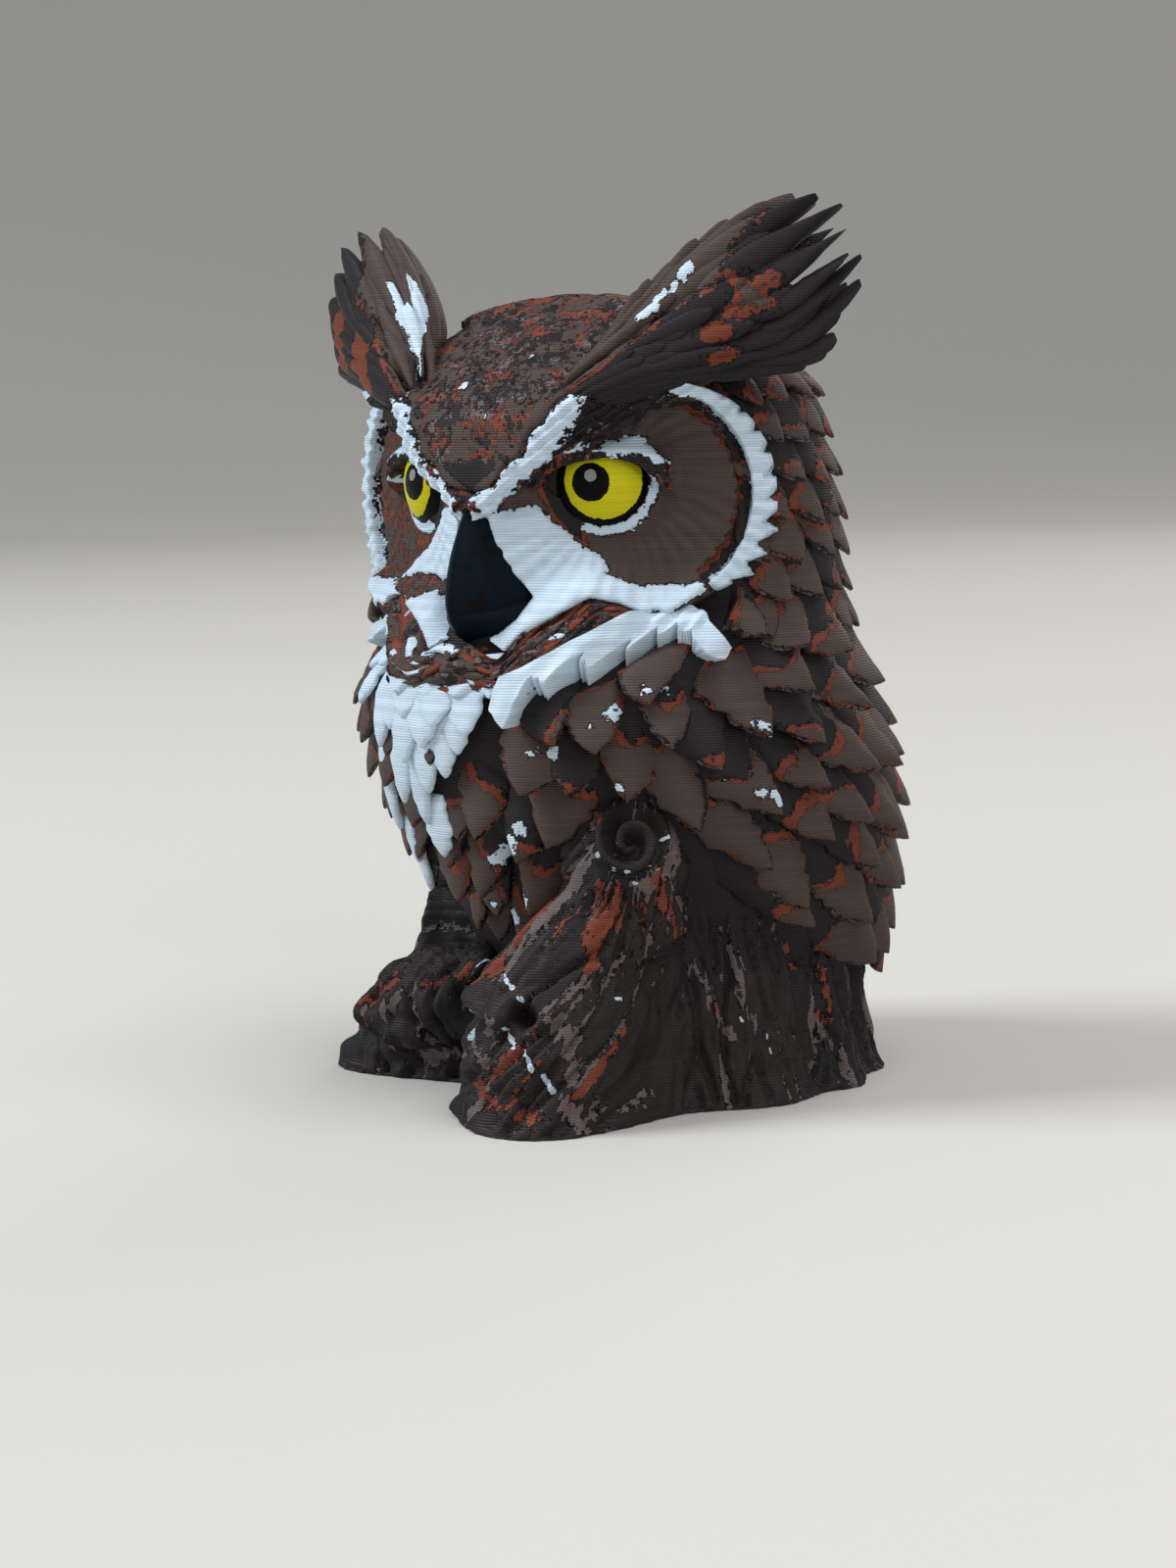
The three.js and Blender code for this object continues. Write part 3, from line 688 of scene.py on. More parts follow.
def hangFeather(bm, degrees, tipZ, lean, side, feather, paint):
    # put a feather on the body by the place of its tip
    rootAzimuth = math.radians(degrees) - feather["length"] * math.sin(lean) / body["girth"]
    place = bodyPlace(side * rootAzimuth, tipZ + feather["length"] * math.cos(lean), side * lean)
    if degrees < plumes["fleckedTo"]:
        paint = withFlecks(paint, degrees, tipZ, feather["length"], lean, side)
    addFeather(bm, place, feather, paint)


def addPlates(bm, dice, side, onWing):
    # the big plates one by one, those of the wing or those in front of it
    for index, (degrees, tipZ, length, width, lean, brown) in enumerate(plumes["plates"]):
        if (degrees >= plumes["wing"]["first"]) != onWing:
            continue
        feather = {**plumes["cuts"]["plate"], "width": width, "length": length, "seed": 700 + index}
        hangFeather(bm, abs(degrees), tipZ, math.radians(lean), side if degrees >= 0 else -side, feather,
                    platePaint(dice, feather, brown))


def makeBreast():
    bm = newMesh()[0]
    dice = random.Random(5)
    plan, cuts = plumes["breast"], plumes["cuts"]
    for row in range(plan["rows"]):
        for index in range(*plan["columns"]):
            degrees = (index + (row % 2) / 2) * plan["step"] - 3 + dice.uniform(-2, 2)
            tipZ = plan["low"] + row * plan["pitch"] + 0.02 * abs(degrees) + dice.uniform(-0.4, 0.4)
            if abs(degrees) > plan["edge"] or tipZ < lowestTips(degrees) - 1.5:
                continue
            if tipZ > plan["top"] and abs(degrees) < 30:
                continue
            grow = dice.uniform(0.92, 1.08)
            feather = {**cuts["breast"], "width": plan["width"] * grow, "length": plan["length"] * grow,
                       "lift": cuts["breast"]["lift"] * dice.uniform(0.85, 1.1), "seed": row * 31 + index}
            lean = math.radians(4 + 0.26 * abs(degrees))
            hangFeather(bm, abs(degrees), tipZ, lean, 1 if degrees >= 0 else -1, feather,
                        platePaint(dice, feather, dice.choice(plan["browns"])))
    addPlates(bm, dice, 1, False)
    for index, (degrees, tipZ, length, width) in enumerate(plumes["bib"]):
        feather = {**cuts["bib"], "width": width, "length": length,
                   "lift": cuts["bib"]["lift"] + 0.2 * (index % 3), "seed": 180 + index}
        lean = math.radians(2 + 0.22 * abs(degrees - 4)) * (1 if abs(degrees) > 6 else 0)
        hangFeather(bm, abs(degrees), tipZ, lean, 1 if degrees >= 0 else -1, feather,
                    lambda u, v, a, length=length: (min(0.8, v * length + 0.2), -0.4, 0.1, -0.3))
    return finishPiece(bm, "breast_feathers", plumagePrint, weld=False)


def makeWings():
    bm = newMesh()[0]
    dice = random.Random(11)
    plan, cut = plumes["wing"], plumes["cuts"]["wing"]
    for side in (1, -1):
        addPlates(bm, dice, side, True)
        for row in range(plan["rows"]):
            for index in range(*plan["columns"]):
                degrees = plan["first"] + (index + (row % 2) / 2) * plan["step"] - row
                degrees += dice.uniform(-1.5, 1.5)
                tipZ = plan["top"] - plan["slope"] * (min(degrees, 135) - 78) - row * plan["pitch"]
                tipZ += dice.uniform(-0.5, 0.5)
                low = lowestTips(degrees) - 0.5
                if tipZ < low + 1.4:
                    tipZ = low
                if degrees < plan["front"] or degrees > plan["back"] or tipZ < low:
                    continue
                lean = mix(50, 36, smooth(tipZ, 32, 14)) * mix(1, 0.25, smooth(degrees, 115, 170))
                lean = math.radians(lean)
                grow = dice.uniform(0.93, 1.07)
                feather = {**cut, "width": plan["width"] * grow, "length": plan["length"] * grow,
                           "lift": cut["lift"] + 0.3 * (tipZ < low + 1),
                           "seed": 400 + row * 31 + index + side * 200}
                hangFeather(bm, degrees, tipZ, lean, side, feather,
                            platePaint(dice, feather, dice.choice(plan["browns"])))
    return finishPiece(bm, "wing_feathers", plumagePrint, weld=False)


def makeNape():
    bm = newMesh()[0]
    dice = random.Random(23)
    plan = plumes["nape"]
    for side in (1, -1):
        for row in range(plan["rows"]):
            for index in range(*plan["columns"]):
                degrees = plan["front"] + (index + (row % 2) / 2) * plan["step"] + dice.uniform(-1.5, 1.5)
                if degrees > plan["back"]:
                    continue
                tipZ = plan["low"] + row * plan["pitch"] + dice.uniform(-0.3, 0.3)
                lean = math.radians(mix(34, 5, smooth(degrees, 80, 165)))
                feather = {**plumes["cuts"]["nape"], "width": plan["width"] * dice.uniform(0.85, 1.08),
                           "length": plan["length"] * dice.uniform(0.92, 1.08),
                           "seed": 900 + row * 31 + index + side * 200}
                hangFeather(bm, degrees, tipZ, lean, side, feather,
                            platePaint(dice, feather, dice.choice(plan["browns"])))
    return finishPiece(bm, "nape_feathers", plumagePrint, weld=False)


makeBreast()
makeWings()
makeNape()
print("plumage ready")


# the face: one plate round each eye, from the beak to the white rim

face = {
    "eye": (7.7, -9.4, 47.8),          # the middle of the face's own frame, in the head
    "iris": (0.5, 0.85),               # across and up from there
    "disc": (3.5, -0.25), "discRadius": 7.1, "ringRadius": 8.2, "rimRadius": 9.75,
    "plate": 1.35, "opening": 3.4,
    # the plate's outer edge, a rounded oblong, and the heights of its inner and outer edges
    "outerMiddle": (1.2, -2.5), "outerHalf": (12.6, 11.2), "outerPower": 2.8, "edges": (-1.0, -3.0),
    # how far each form stands out or lies back, and the heights of the lid and of the ground outside
    "relief": {"rim": 1.25, "ring": 0.55, "lip": 2.3, "cheek": 0.25, "beakSeat": 2.2, "lidMark": 0.4,
               "lid": 3.02, "lowLid": 0.35, "underLid": 0.25, "hood": 0.75, "forehead": 3.2,
               "outside": -1.2, "edge": 5.5},
    "lidUnder": [
        (-4.6, 0.4), (-4.1, 1.0), (-2.9, 1.8), (-1.4, 2.25), (0.9, 2.6), (2.6, 2.2), (3.5, 1.8),
        (4.4, 1.0), (6.5, -0.6)],
    "lidOver": [
        (-5.4, 0.6), (-4.2, 1.9), (-2.5, 2.75), (-0.3, 2.9), (2.2, 2.95), (3.5, 2.7), (5.2, 2.1),
        (6.5, 1.2)],
    "lip": [
        (-9.8, -12.2), (-8.9, -12.1), (-7.7, -12.9), (-5.8, -10.9), (-3.7, -9.6), (-2.2, -8.8),
        (-0.5, -7.9), (1.8, -8.4), (3.5, -9.2), (5.4, -9.4), (6.8, -8.6), (8.4, -7.8), (11, -6.5)],
    "browRise": [(-2, 2.3), (-0.1, 2.75), (1.4, 3.7), (2.2, 4.15), (7.2, 4.6), (10, 4.6)],
    "columns": 340, "rows": 92,
    "shapes": {
        "brow": [
            (-0.3, 7.3), (-0.9, 6.1), (-1.4, 5.3), (-2.0, 4.3), (-2.9, 3.1), (-4.1, 2.1), (-4.8, 1.4),
            (-5.7, 0.5), (-7.1, -0.6), (-7.7, -1.6), (-9.8, -2.4), (-9.8, -0.5), (-8.9, -0.1),
            (-7.9, 0.3), (-7.0, 1.5), (-6.4, 2.1), (-5.4, 2.7), (-4.7, 4.4), (-3.7, 5.2), (-2.7, 6.7),
            (-1.6, 7.3)],
        "forehead": [
            (-9.8, -0.7), (-8.9, -0.1), (-7.9, 0.3), (-7.0, 1.5), (-6.4, 2.1), (-5.4, 2.7), (-4.7, 4.4),
            (-3.7, 5.2), (-2.7, 6.7), (-1.6, 7.4), (-0.3, 9.0), (-13, 9), (-13, -0.7)],
        "hood": [
            (-7.7, -1.6), (-7.1, -0.6), (-5.7, 0.5), (-4.5, 1.9), (-2.6, 2.9), (-0.6, 3.8), (1.6, 4.4),
            (2.8, 4.7), (3.5, 5.5), (4.2, 6.2), (7.2, 6.5), (9.0, 8.0), (9, 12), (-13, 12), (-13, -1.6)],
        "cheek": [
            (-7.7, -1.6), (-5.2, -1.1), (-4.7, -1.1), (-4.1, -1.5), (-3.6, -2.2), (-2.7, -2.8),
            (-1.8, -3.5), (-0.8, -4.4), (0.5, -5.3), (0.9, -6.0), (0.6, -6.3), (2.2, -6.9), (3.6, -7.3),
            (5.1, -7.1), (6.7, -7.2), (8.0, -6.9), (8.3, -7.5), (7.5, -8.2), (6.8, -8.4), (5.4, -9.5),
            (4.8, -9.0), (3.5, -9.3), (1.8, -8.6), (-0.5, -8.1), (-2.2, -9.0), (-3.7, -9.8),
            (-5.8, -11.1), (-7.7, -13.1), (-8.9, -12.4), (-13, -12.4), (-13, -1.6)],
        "farGap": [
            (2.5, -7.0), (-2.4, -6.4), (-4.6, -6.9), (-5.9, -6.4), (-6.8, -7.3), (-6.1, -8.4),
            (-4.2, -7.8), (-2.1, -8.5), (1.4, -7.8)],
        "beakSeat": [
            (-8.6, -1.3), (-8.3, -2.8), (-7.8, -4.3), (-6.8, -6.0), (-5.8, -7.1), (-5.0, -8.0),
            (-6.3, -9.7), (-7.7, -10.7), (-9.0, -11.6), (-13, -11.6), (-13, -1.3)],
        "lidStreak": [
            (-0.4, 2.85), (0.9, 3.7), (2.9, 4.3), (3.6, 4.0), (3.7, 3.5), (4.6, 2.9), (5.5, 2.1),
            (4.3, 2.4), (2.6, 2.9), (0.9, 2.9)],
        "lidDash": [(-2.5, 2.95), (-0.5, 3.7), (-0.5, 3.3), (-2.4, 2.7)],
        "corner": [
            (-4.6, 0.6), (-4.5, 0.2), (-3.5, -2.1), (-1.6, -3.9), (-0.9, -4.3), (-1.1, -2.6),
            (0.4, -2.6), (3.5, 0.4), (3.5, 2.0), (0.5, 2.6), (-3.5, 1.6)],
    },
}
discSlope = math.atan(body["faceSlope"])
faceAcross = Vector((math.cos(discSlope), math.sin(discSlope), 0))
faceOutward = Vector((math.sin(discSlope), -math.cos(discSlope), 0))


def facePoint(s, t, height, side):
    point = Vector(face["eye"]) + faceAcross * s + faceOutward * height + Vector((0, 0, t))
    return turned(Vector((point.x * side, point.y, point.z)), body["headTurn"])


def awayFrom(line, s, t):          # distance to a bent line
    nearest = 1e9
    for (s0, t0), (s1, t1) in zip(line, line[1:]):
        ds, dt = s1 - s0, t1 - t0
        k = min(1, max(0, ((s - s0) * ds + (t - t0) * dt) / (ds * ds + dt * dt)))
        nearest = min(nearest, math.hypot(s - s0 - k * ds, t - t0 - k * dt))
    return nearest


def inside(shape, s, t):           # how far inside a closed outline, negative outside
    odd = False
    for (s0, t0), (s1, t1) in zip(shape, shape[1:] + shape[:1]):
        if (t0 > t) != (t1 > t) and s < s0 + (t - t0) * (s1 - s0) / (t1 - t0):
            odd = not odd
    far = awayFrom(shape + shape[:1], s, t)
    return far if odd else -far


def tooth(x):                      # a row of leaning points, from 0 to 1
    part = x % 1
    return part / 0.75 if part < 0.75 else (1 - part) / 0.25


def faceShape(s, t, side):
    # height in front of the eye's middle, the filament fields and the speckle
    shapes, relief = face["shapes"], face["relief"]
    discS, discT = s - face["disc"][0], t - face["disc"][1]
    reach, turn = math.hypot(discS, discT), math.degrees(math.atan2(discT, discS))
    irisS, irisT = s - face["iris"][0], t - face["iris"][1]
    fromIris, irisTurn = math.hypot(irisS, irisT), math.degrees(math.atan2(irisT, irisS))
    brow, hood, cheek = (inside(shapes[key], s, t) for key in ("brow", "hood", "cheek"))
    if side < 0:
        cheek = min(cheek, -inside(shapes["farGap"], s, t))
    outer = smooth(turn, -58, -53) * smooth(turn, 112, 92)
    rimSpan = smooth(turn, -55, -51) * smooth(turn, 76, 71)
    discEdge = face["discRadius"] + 0.30 * tooth(turn / 9.5) - 0.12
    rimEdge = face["rimRadius"] + 1.1 * tooth(turn / 10.5 + 0.3) - 0.5
    underLip = lineValue(face["lip"], s) - t
    outerSide = smooth(turn, -58, -53) * smooth(turn, 150, 125)

    height = face["plate"] + 0.3 * smooth(fromIris, 4.4, 6.5)
    height += 0.07 * math.cos(irisTurn * 0.7 + fromIris * 1.2) * smooth(fromIris, 4.6, 6.0)
    ring = smooth(reach, discEdge - 0.05, discEdge + 0.25) * outer
    rim = smooth(reach, face["ringRadius"] - 0.1, face["ringRadius"] + 0.3) * rimSpan
    height += relief["rim"] * rim - relief["ring"] * ring + 0.1 * math.cos(turn * 0.9) * rim

    lipRise = smooth(underLip, -4.6, -0.2) ** 2 * smooth(s, 11, 7)
    fan = 0.06 * math.cos(math.atan2(t - 4, s + 12) * 60) * smooth(cheek, 0, 0.6) * smooth(s, -7, -4)
    height += relief["cheek"] * smooth(cheek, -0.1, 0.3)
    height += (relief["lip"] * lipRise + fan) * smooth(turn, -20, -60)
    height -= relief["beakSeat"] * smooth(inside(shapes["beakSeat"], s, t), -0.12, 0.3)
    lidMark = max(inside(shapes[key], s, t) for key in ("lidStreak", "lidDash"))
    height += relief["lidMark"] * smooth(lidMark, -0.1, 0.3)

    under, over = lineValue(face["lidUnder"], s), lineValue(face["lidOver"], s)
    lid = smooth(t, under - 0.35, under - 0.02) * smooth(t, over + 1.3, over)
    lid *= smooth(s, -5.8, -4.4) * smooth(s, 6.6, 5.0)
    rope = 0.07 * math.sin(s * 9 + t * 5) * smooth(t, over + 0.2, over - 0.1)
    height = mix(height, max(height, relief["lid"] + rope), lid)
    lowLid = bump(fromIris, 3.55, 0.35) * smooth(t, under - 0.6, under - 1.2) * smooth(s, -2.6, -1.0)
    underLid = bump(fromIris, 4.0, 0.6) * smooth(irisTurn, -120, -100) * smooth(irisTurn, 5, -5)
    height += relief["lowLid"] * lowLid + relief["underLid"] * underLid

    browTop = lineValue(face["browRise"], t)
    strand = math.cos((t - 0.62 * s) * 8.5 + 0.8 * math.sin(s * 1.9))
    if hood > -0.6:
        hoodTop = browTop - relief["hood"] + 0.16 * strand
        height = mix(height, max(height, hoodTop), smooth(hood, -0.45, 0.35))
    if brow > -0.7:
        ruffled = 0.14 * math.sin((s + t) * 3.0) + 0.1 * math.cos((t - 0.8 * s) * 7)
        height = mix(height, browTop + ruffled, smooth(brow, -0.45, 0.3))
    height -= relief["forehead"] * smooth(inside(shapes["forehead"], s, t), 0.05, 0.8)
    height = mix(height, relief["outside"], smooth(reach, rimEdge, rimEdge + 0.35) * outerSide)
    height -= relief["edge"] * smooth(underLip, 0.0, 0.9)

    crescent = min(0.36 - abs(fromIris - 3.87), (60 - abs(irisTurn + 57)) * 0.06)
    white = max(brow, cheek, crescent, lidMark + 0.05)
    if rimSpan > 0.3:
        white = max(white, min(reach - face["ringRadius"], rimEdge - reach + 0.3))
    browns = 0.42 if side > 0 else 0.02
    if outer > 0.5:
        browns = min(browns, discEdge - reach)
    dark = max(inside(shapes["corner"], s, t), min(t - under + 0.1, over + 0.12 - t, 5.6 - abs(s)))
    browns = min(browns, -dark - 0.1)
    speckle = -0.16
    if hood > -0.1:
        browns, speckle = -0.35 + 0.3 * strand, 0.1
    rust = mix(0.6, -0.5, smooth(-browns, 0.25, 0.5))
    if hood > -0.1 and t > 3.5:
        rust = -0.5
    if dark > 0 and t > under - 0.1:
        rust, speckle = -0.2, 0.15
    return height, (white, browns, rust, -0.6 if outer < 0.5 or reach < 8 else -0.1), speckle


def lidOpening(turn):              # how far the eye opens from the iris's middle in each direction
    c, s = math.cos(turn), math.sin(turn)
    reach = face["opening"] + 1.1 * bump(abs(turn), math.pi - 0.1, 0.42)
    irisS, irisT = face["iris"]
    while reach > 0.5 and irisT + reach * s > lineValue(face["lidUnder"], irisS + reach * c):
        reach -= 0.04
    return reach


def makeFace(side, name):
    bm, fields, speckle = newMesh()
    columns, power = face["columns"], face["outerPower"]
    (middleS, middleT), (halfS, halfT) = face["outerMiddle"], face["outerHalf"]
    openings = [lidOpening((column / columns - 0.5) * 2 * math.pi) for column in range(columns + 1)]

    def place(vert, across, along):
        turn = (across - 0.5) * 2 * math.pi
        c, s = math.cos(turn), math.sin(turn)
        reach = openings[round(across * columns)]
        inner = Vector((face["iris"][0] + c * reach, face["iris"][1] + s * reach))
        size = (abs(c) ** power + abs(s) ** power) ** (-1 / power)
        outer = Vector((middleS + halfS * c * size, middleT + halfT * s * size))
        spot = inner.lerp(outer, max(0, along - 1 / face["rows"]) ** 1.1)
        height, paint, fleck = faceShape(spot.x, spot.y, side)
        if along in (0, 1):
            height = face["edges"][int(along)]
        vert.co = facePoint(spot.x, spot.y, height, side)
        vert[fields], vert[speckle] = paint, fleck

    warpedGrid(bm, columns, face["rows"], place)
    return finishPiece(bm, name, plumagePrint)


makeSkull()
makeFace(1, "left_face")
makeFace(-1, "right_face")
print("face ready")


# eyes

eye = {
    "radius": 3.9, "bulge": 2.9, "middle": (0.4, 0.55), "sides": 96, "rings": 64,
    "iris": 2.98, "pupil": 1.46, "pupilAt": (-0.4, 0.7), "glint": 0.47, "glintAt": (-0.4, 1.22),
    "roughness": 0.36, "specular": 0.07,
}


def makeEyePrint():
    material, tree, shader, place = newMaterial("printedEye", eye["roughness"], eye["specular"])
    snapped, ridge, tint = layerLines(place)
    iris, pupil, glint = storedFields(place)[:3]
    jag = (snapped.noise(2.6, 2.0) - 0.5) * 0.3
    colour = (iris + jag > 0).blend(filament["pupil"], filament["yellow"])
    colour = (pupil + jag * 0.6 > 0).blend(colour, filament["pupil"])
    colour = (glint + jag * 0.3 > 0).blend(colour, filament["glint"])
    finishShader(tree, shader, colour, jag * 0.05, ridge, tint, 0.5)
    return material


eyePrint = makeEyePrint()


def makeEye(side, name):
    bm, fields = newMesh()[:2]
    verts = bmesh.ops.create_uvsphere(
        bm, u_segments=eye["sides"], v_segments=eye["rings"], radius=1)["verts"]
    for vert in verts:
        s = eye["middle"][0] + vert.co.x * eye["radius"]
        t = eye["middle"][1] + vert.co.y * eye["radius"]
        iris, pupil, glint = (eye[key] - math.hypot(s - at[0], t - at[1]) for key, at in (
            ("iris", face["iris"]), ("pupil", eye["pupilAt"]), ("glint", eye["glintAt"])))
        vert[fields] = (iris, pupil, glint, 0)
        vert.co = facePoint(s, t, vert.co.z * eye["bulge"], side)
    return finishPiece(bm, name, eyePrint)


makeEye(1, "left_eye")
makeEye(-1, "right_eye")


# beak

beak = {
    # half width, front, height, and how far the widest line lies behind the front, from the tip up
    "stations": [
        (0.4, -15.6, 35.9, 0.6), (1.4, -16.5, 36.4, 2.4), (3.2, -17.6, 37.2, 4.6),
        (5.0, -18.4, 38.3, 6.8), (4.7, -18.7, 39.5, 6.6), (4.0, -18.6, 41.0, 5.6),
        (3.2, -18.1, 42.9, 4.6), (2.6, -17.5, 44.3, 3.8), (2.1, -16.9, 45.5, 3.0),
        (0.9, -16.3, 46.5, 1.4), (0.2, -15.4, 47.2, 0.5)],
    "back": -11.4, "nostril": 0.3, "mouth": 0.3, "grid": (80, 100),
    "roughness": 0.4, "specular": 0.07,
}


def makeBeakPrint():
    material, tree, shader, place = newMaterial("printedBeak", beak["roughness"], beak["specular"])
    snapped, ridge, tint = layerLines(place)
    patch = (snapped.noise(0.5, 2.0) - 0.5).above(0.12, 0.16)
    colour = patch.blend(filament["beak"], filament["pupil"])
    finishShader(tree, shader, colour, snapped.noise(1.2, 2.0) * 0.08, ridge, tint, 0.6)
    return material


def makeBeak(material):
    bm = newMesh()[0]
    stations = vectors(beak["stations"])

    def place(vert, across, along):
        angle = (across - 0.5) * 2 * math.pi
        half, front, z, depth = through(stations, along)
        back = mix(front + 2.0, beak["back"], smooth(along, 0.1, 0.35))
        nostril = beak["nostril"] * bump(along, 0.72, 0.07) * bump(abs(angle), 0.75, 0.3)
        mouth = beak["mouth"] * bump(along, 0.30 + 0.10 * abs(angle), 0.03) * smooth(abs(angle), 1.7, 1.2)
        x = (half - nostril - mouth) * math.sin(angle)
        flank = min(front + depth, back - 0.2)
        y = mix(flank, back, -math.cos(angle))
        if abs(angle) < math.pi / 2:
            y = mix(front, flank, abs(math.sin(angle)) ** 1.25)
        closing = min(1, along * 60, (1 - along) * 60)
        point = Vector((x * closing, mix((front + back) / 2, y, closing), z))
        vert.co = turned(point, body["headTurn"])

    warpedGrid(bm, *beak["grid"], place)
    return finishPiece(bm, "beak", material)


makeBeak(makeBeakPrint())
print("eyes and beak ready")


# ear tufts, from the brow to the feather tips

tuft = {
    "upper": vectors([(0.4, -15.2, 47.8), (4.6, -13.6, 53.4), (8.8, -9.6, 58.6),
                      (12.2, -7.4, 63.0), (16.6, -5.0, 66.8), (21.6, -2.0, 69.2)]),
    "lower": vectors([(0.9, -16.2, 46.2), (6.2, -14.2, 52.2), (12.4, -11.4, 54.9),
                      (18.4, -6.6, 57.1), (22.0, -3.6, 59.0), (24.2, -1.4, 62.4)]),
    "front": 2.0, "back": 4.4, "length": 33, "from": 0.29, "to": 0.86,
    "rightShrink": 0.93,                           # the right tuft is a little shorter
    "cut": {"sunk": -0.35, "rise": 0.8, "crown": 0.5, "sides": 18, "rings": 22, "ragged": 0.16},
    "sharp": {"tipFrom": 0.38, "tipPower": 1.6, "tipRound": 0.85},
    "blunt": {"tipFrom": 0.45, "tipPower": 2.4, "tipRound": 0.6},
    "tipThick": 0.85, "plateThick": 0.5, "edgeThick": 0.6, "edgeWidth": 2.8,
    # small scales low on the front
    "scales": {"rows": 4, "each": 6, "first": 100, "step": 16, "from": 0.45, "pitch": 0.055,
               "length": 5.4, "width": 3.1, "lift": 0.25, "thick": 0.35},
    "columns": 110, "rows": 80, "arc": 0.077,      # millimetres round for each degree
    # where taupe meets charcoal: share along, and degrees round from the upper edge
    "taupe": [
        (0.2, 108), (0.35, 98), (0.48, 80), (0.57, 68), (0.71, 73), (0.78, 52), (0.9, 34), (0.99, 12),
        (1.2, -40)],
    # every blade: where its tip is along and round, length, width, lift
    "tips": [
        (1.04, 38, 15, 4.8, 0.5), (1.085, 68, 14, 3.6, 0.7), (1.075, 94, 13, 3.2, 0.6),
        (1.06, 118, 11, 2.6, 0.8), (1.09, 134, 13, 2.8, 0.7), (1.07, 164, 15, 4.4, 1.1),
        (0.99, 176, 9, 2.4, 1.0), (0.93, 180, 11, 3.6, 2.0), (0.87, -176, 9, 3.0, 1.9),
        (0.78, -174, 8, 3.4, 1.6), (1.04, -146, 15, 4.6, 0.7), (1.05, -112, 15, 4.8, 0.7),
        (1.05, -76, 15, 4.8, 0.7), (1.03, -38, 15, 4.6, 0.6), (0.99, -6, 13, 3.8, 0.5)],
    "plates": [
        (0.97, 88, 12, 3.6, 0.35), (0.90, 54, 11, 3.6, 0.3), (0.88, 108, 11, 3.4, 0.35),
        (0.95, 142, 12, 3.2, 0.4), (0.82, 142, 10, 3.4, 0.4), (0.78, 82, 10, 3.6, 0.35),
        (0.72, 118, 9, 3.4, 0.4), (0.66, 92, 8, 3.2, 0.35), (0.70, 158, 9, 3.2, 0.4),
        (0.62, 136, 8, 3.0, 0.4), (0.86, 16, 11, 3.6, 0.3), (0.76, 40, 10, 3.4, 0.25),
        (0.68, 12, 9, 3.2, 0.25), (0.62, 58, 8, 3.0, 0.25), (0.56, 30, 8, 2.8, 0.25),
        (0.50, 66, 7, 2.8, 0.25), (0.48, 4, 7, 2.6, 0.25)],
    # small leaves standing out along the upper edge: tip, degrees round, length
    "edge": [
        (0.60, 6, 6.4), (0.665, -4, 6.4), (0.745, 6, 6.6), (0.83, -2, 6.6), (0.93, 4, 7.4),
        (0.56, 24, 5.5), (0.64, -22, 6.0), (0.74, -26, 6.2), (0.84, -24, 6.4), (0.94, -20, 6.6)],
    # marks: a white stripe, a rust-edged leaf and two rust ovals on the left tuft
    "stripe": [(0.515, 60), (0.69, 42)],
    "leaf": [
        ((0.68, 107), (0.75, 97)), ((0.75, 97), (0.765, 84)), ((0.75, 97), (0.855, 93)),
        ((0.74, 99), (0.80, 109))],
    "ovals": [((0.60, 118), (0.635, 114)), ((0.565, 146), (0.61, 142))],
}


def tuftPoint(t, angle, lift):
    inner = min(1, max(0, t))
    upper, lower = through(tuft["upper"], inner), through(tuft["lower"], inner)
    chord = lower - upper
    c = 0.5 - 0.5 * math.cos(angle)
    near = min(0.98, max(0.02, t))
    upperRun = through(tuft["upper"], near + 0.01) - through(tuft["upper"], near - 0.01)
    lowerRun = through(tuft["lower"], near + 0.01) - through(tuft["lower"], near - 0.01)
    along = upperRun.lerp(lowerRun, c).normalized()
    out = chord.cross(along).normalized()
    thickness = (tuft["front"] if math.sin(angle) >= 0 else tuft["back"]) * (
        0.3 + 0.7 * math.sin(math.pi * min(0.96, max(0.15, t))))
    point = upper + chord * c - chord.normalized() * (lift * math.cos(angle))
    point += out * ((thickness + lift) * math.sin(angle)) + along * ((t - inner) * tuft["length"])
    return point


def tuftMark(line, t, degrees):    # how far from a line given by shares along and degrees round
    flat = [(a * tuft["length"], b * tuft["arc"]) for a, b in line]
    return awayFrom(flat, t * tuft["length"], degrees * tuft["arc"])


def tuftPaint(t, angle, side):
    # taupe along the upper front edge, a rust line, charcoal below and behind, and a few marks
    degrees = (math.degrees(angle) + 180) % 360 - 180
    edge = lineValue(tuft["taupe"], t)
    taupe = min((edge - degrees) * tuft["arc"], (degrees + 70) * tuft["arc"])
    rust = 0.2 - abs(taupe + 0.22) if degrees > 0 else -0.5
    if t < 0.5 and degrees > 0:
        rust = max(rust, 0.36 - abs(taupe + 0.3))
    white = -2
    if side > 0 and 0.45 < t < 0.9 and 20 < degrees < 160:
        leaf = min(tuftMark(line, t, degrees) for line in tuft["leaf"])
        rust = max(rust, 0.68 - leaf, *(0.75 - tuftMark(line, t, degrees) for line in tuft["ovals"]))
        taupe = max(taupe, 0.3 - leaf)
        white = 0.36 - tuftMark(tuft["stripe"], t, degrees)
    elif side < 0 and 0.3 < t < 0.75 and -60 < degrees < 80:
        middle, half = mix(34, 16, smooth(t, 0.36, 0.56)), mix(0.2, 1.9, smooth(t, 0.35, 0.52))
        fingers = 0.60 + 0.07 * math.cos(degrees * 0.2 - 0.6)
        white = min(half - abs(degrees - middle) * tuft["arc"], (fingers - t) * 26)
    if side < 0 and 0.4 < t < 0.86 and 96 < degrees < 165:
        rust = max(rust, 0.9 * math.sin(t * 26 + degrees * 0.06))
    return (white, taupe, rust, min(-0.35, taupe))


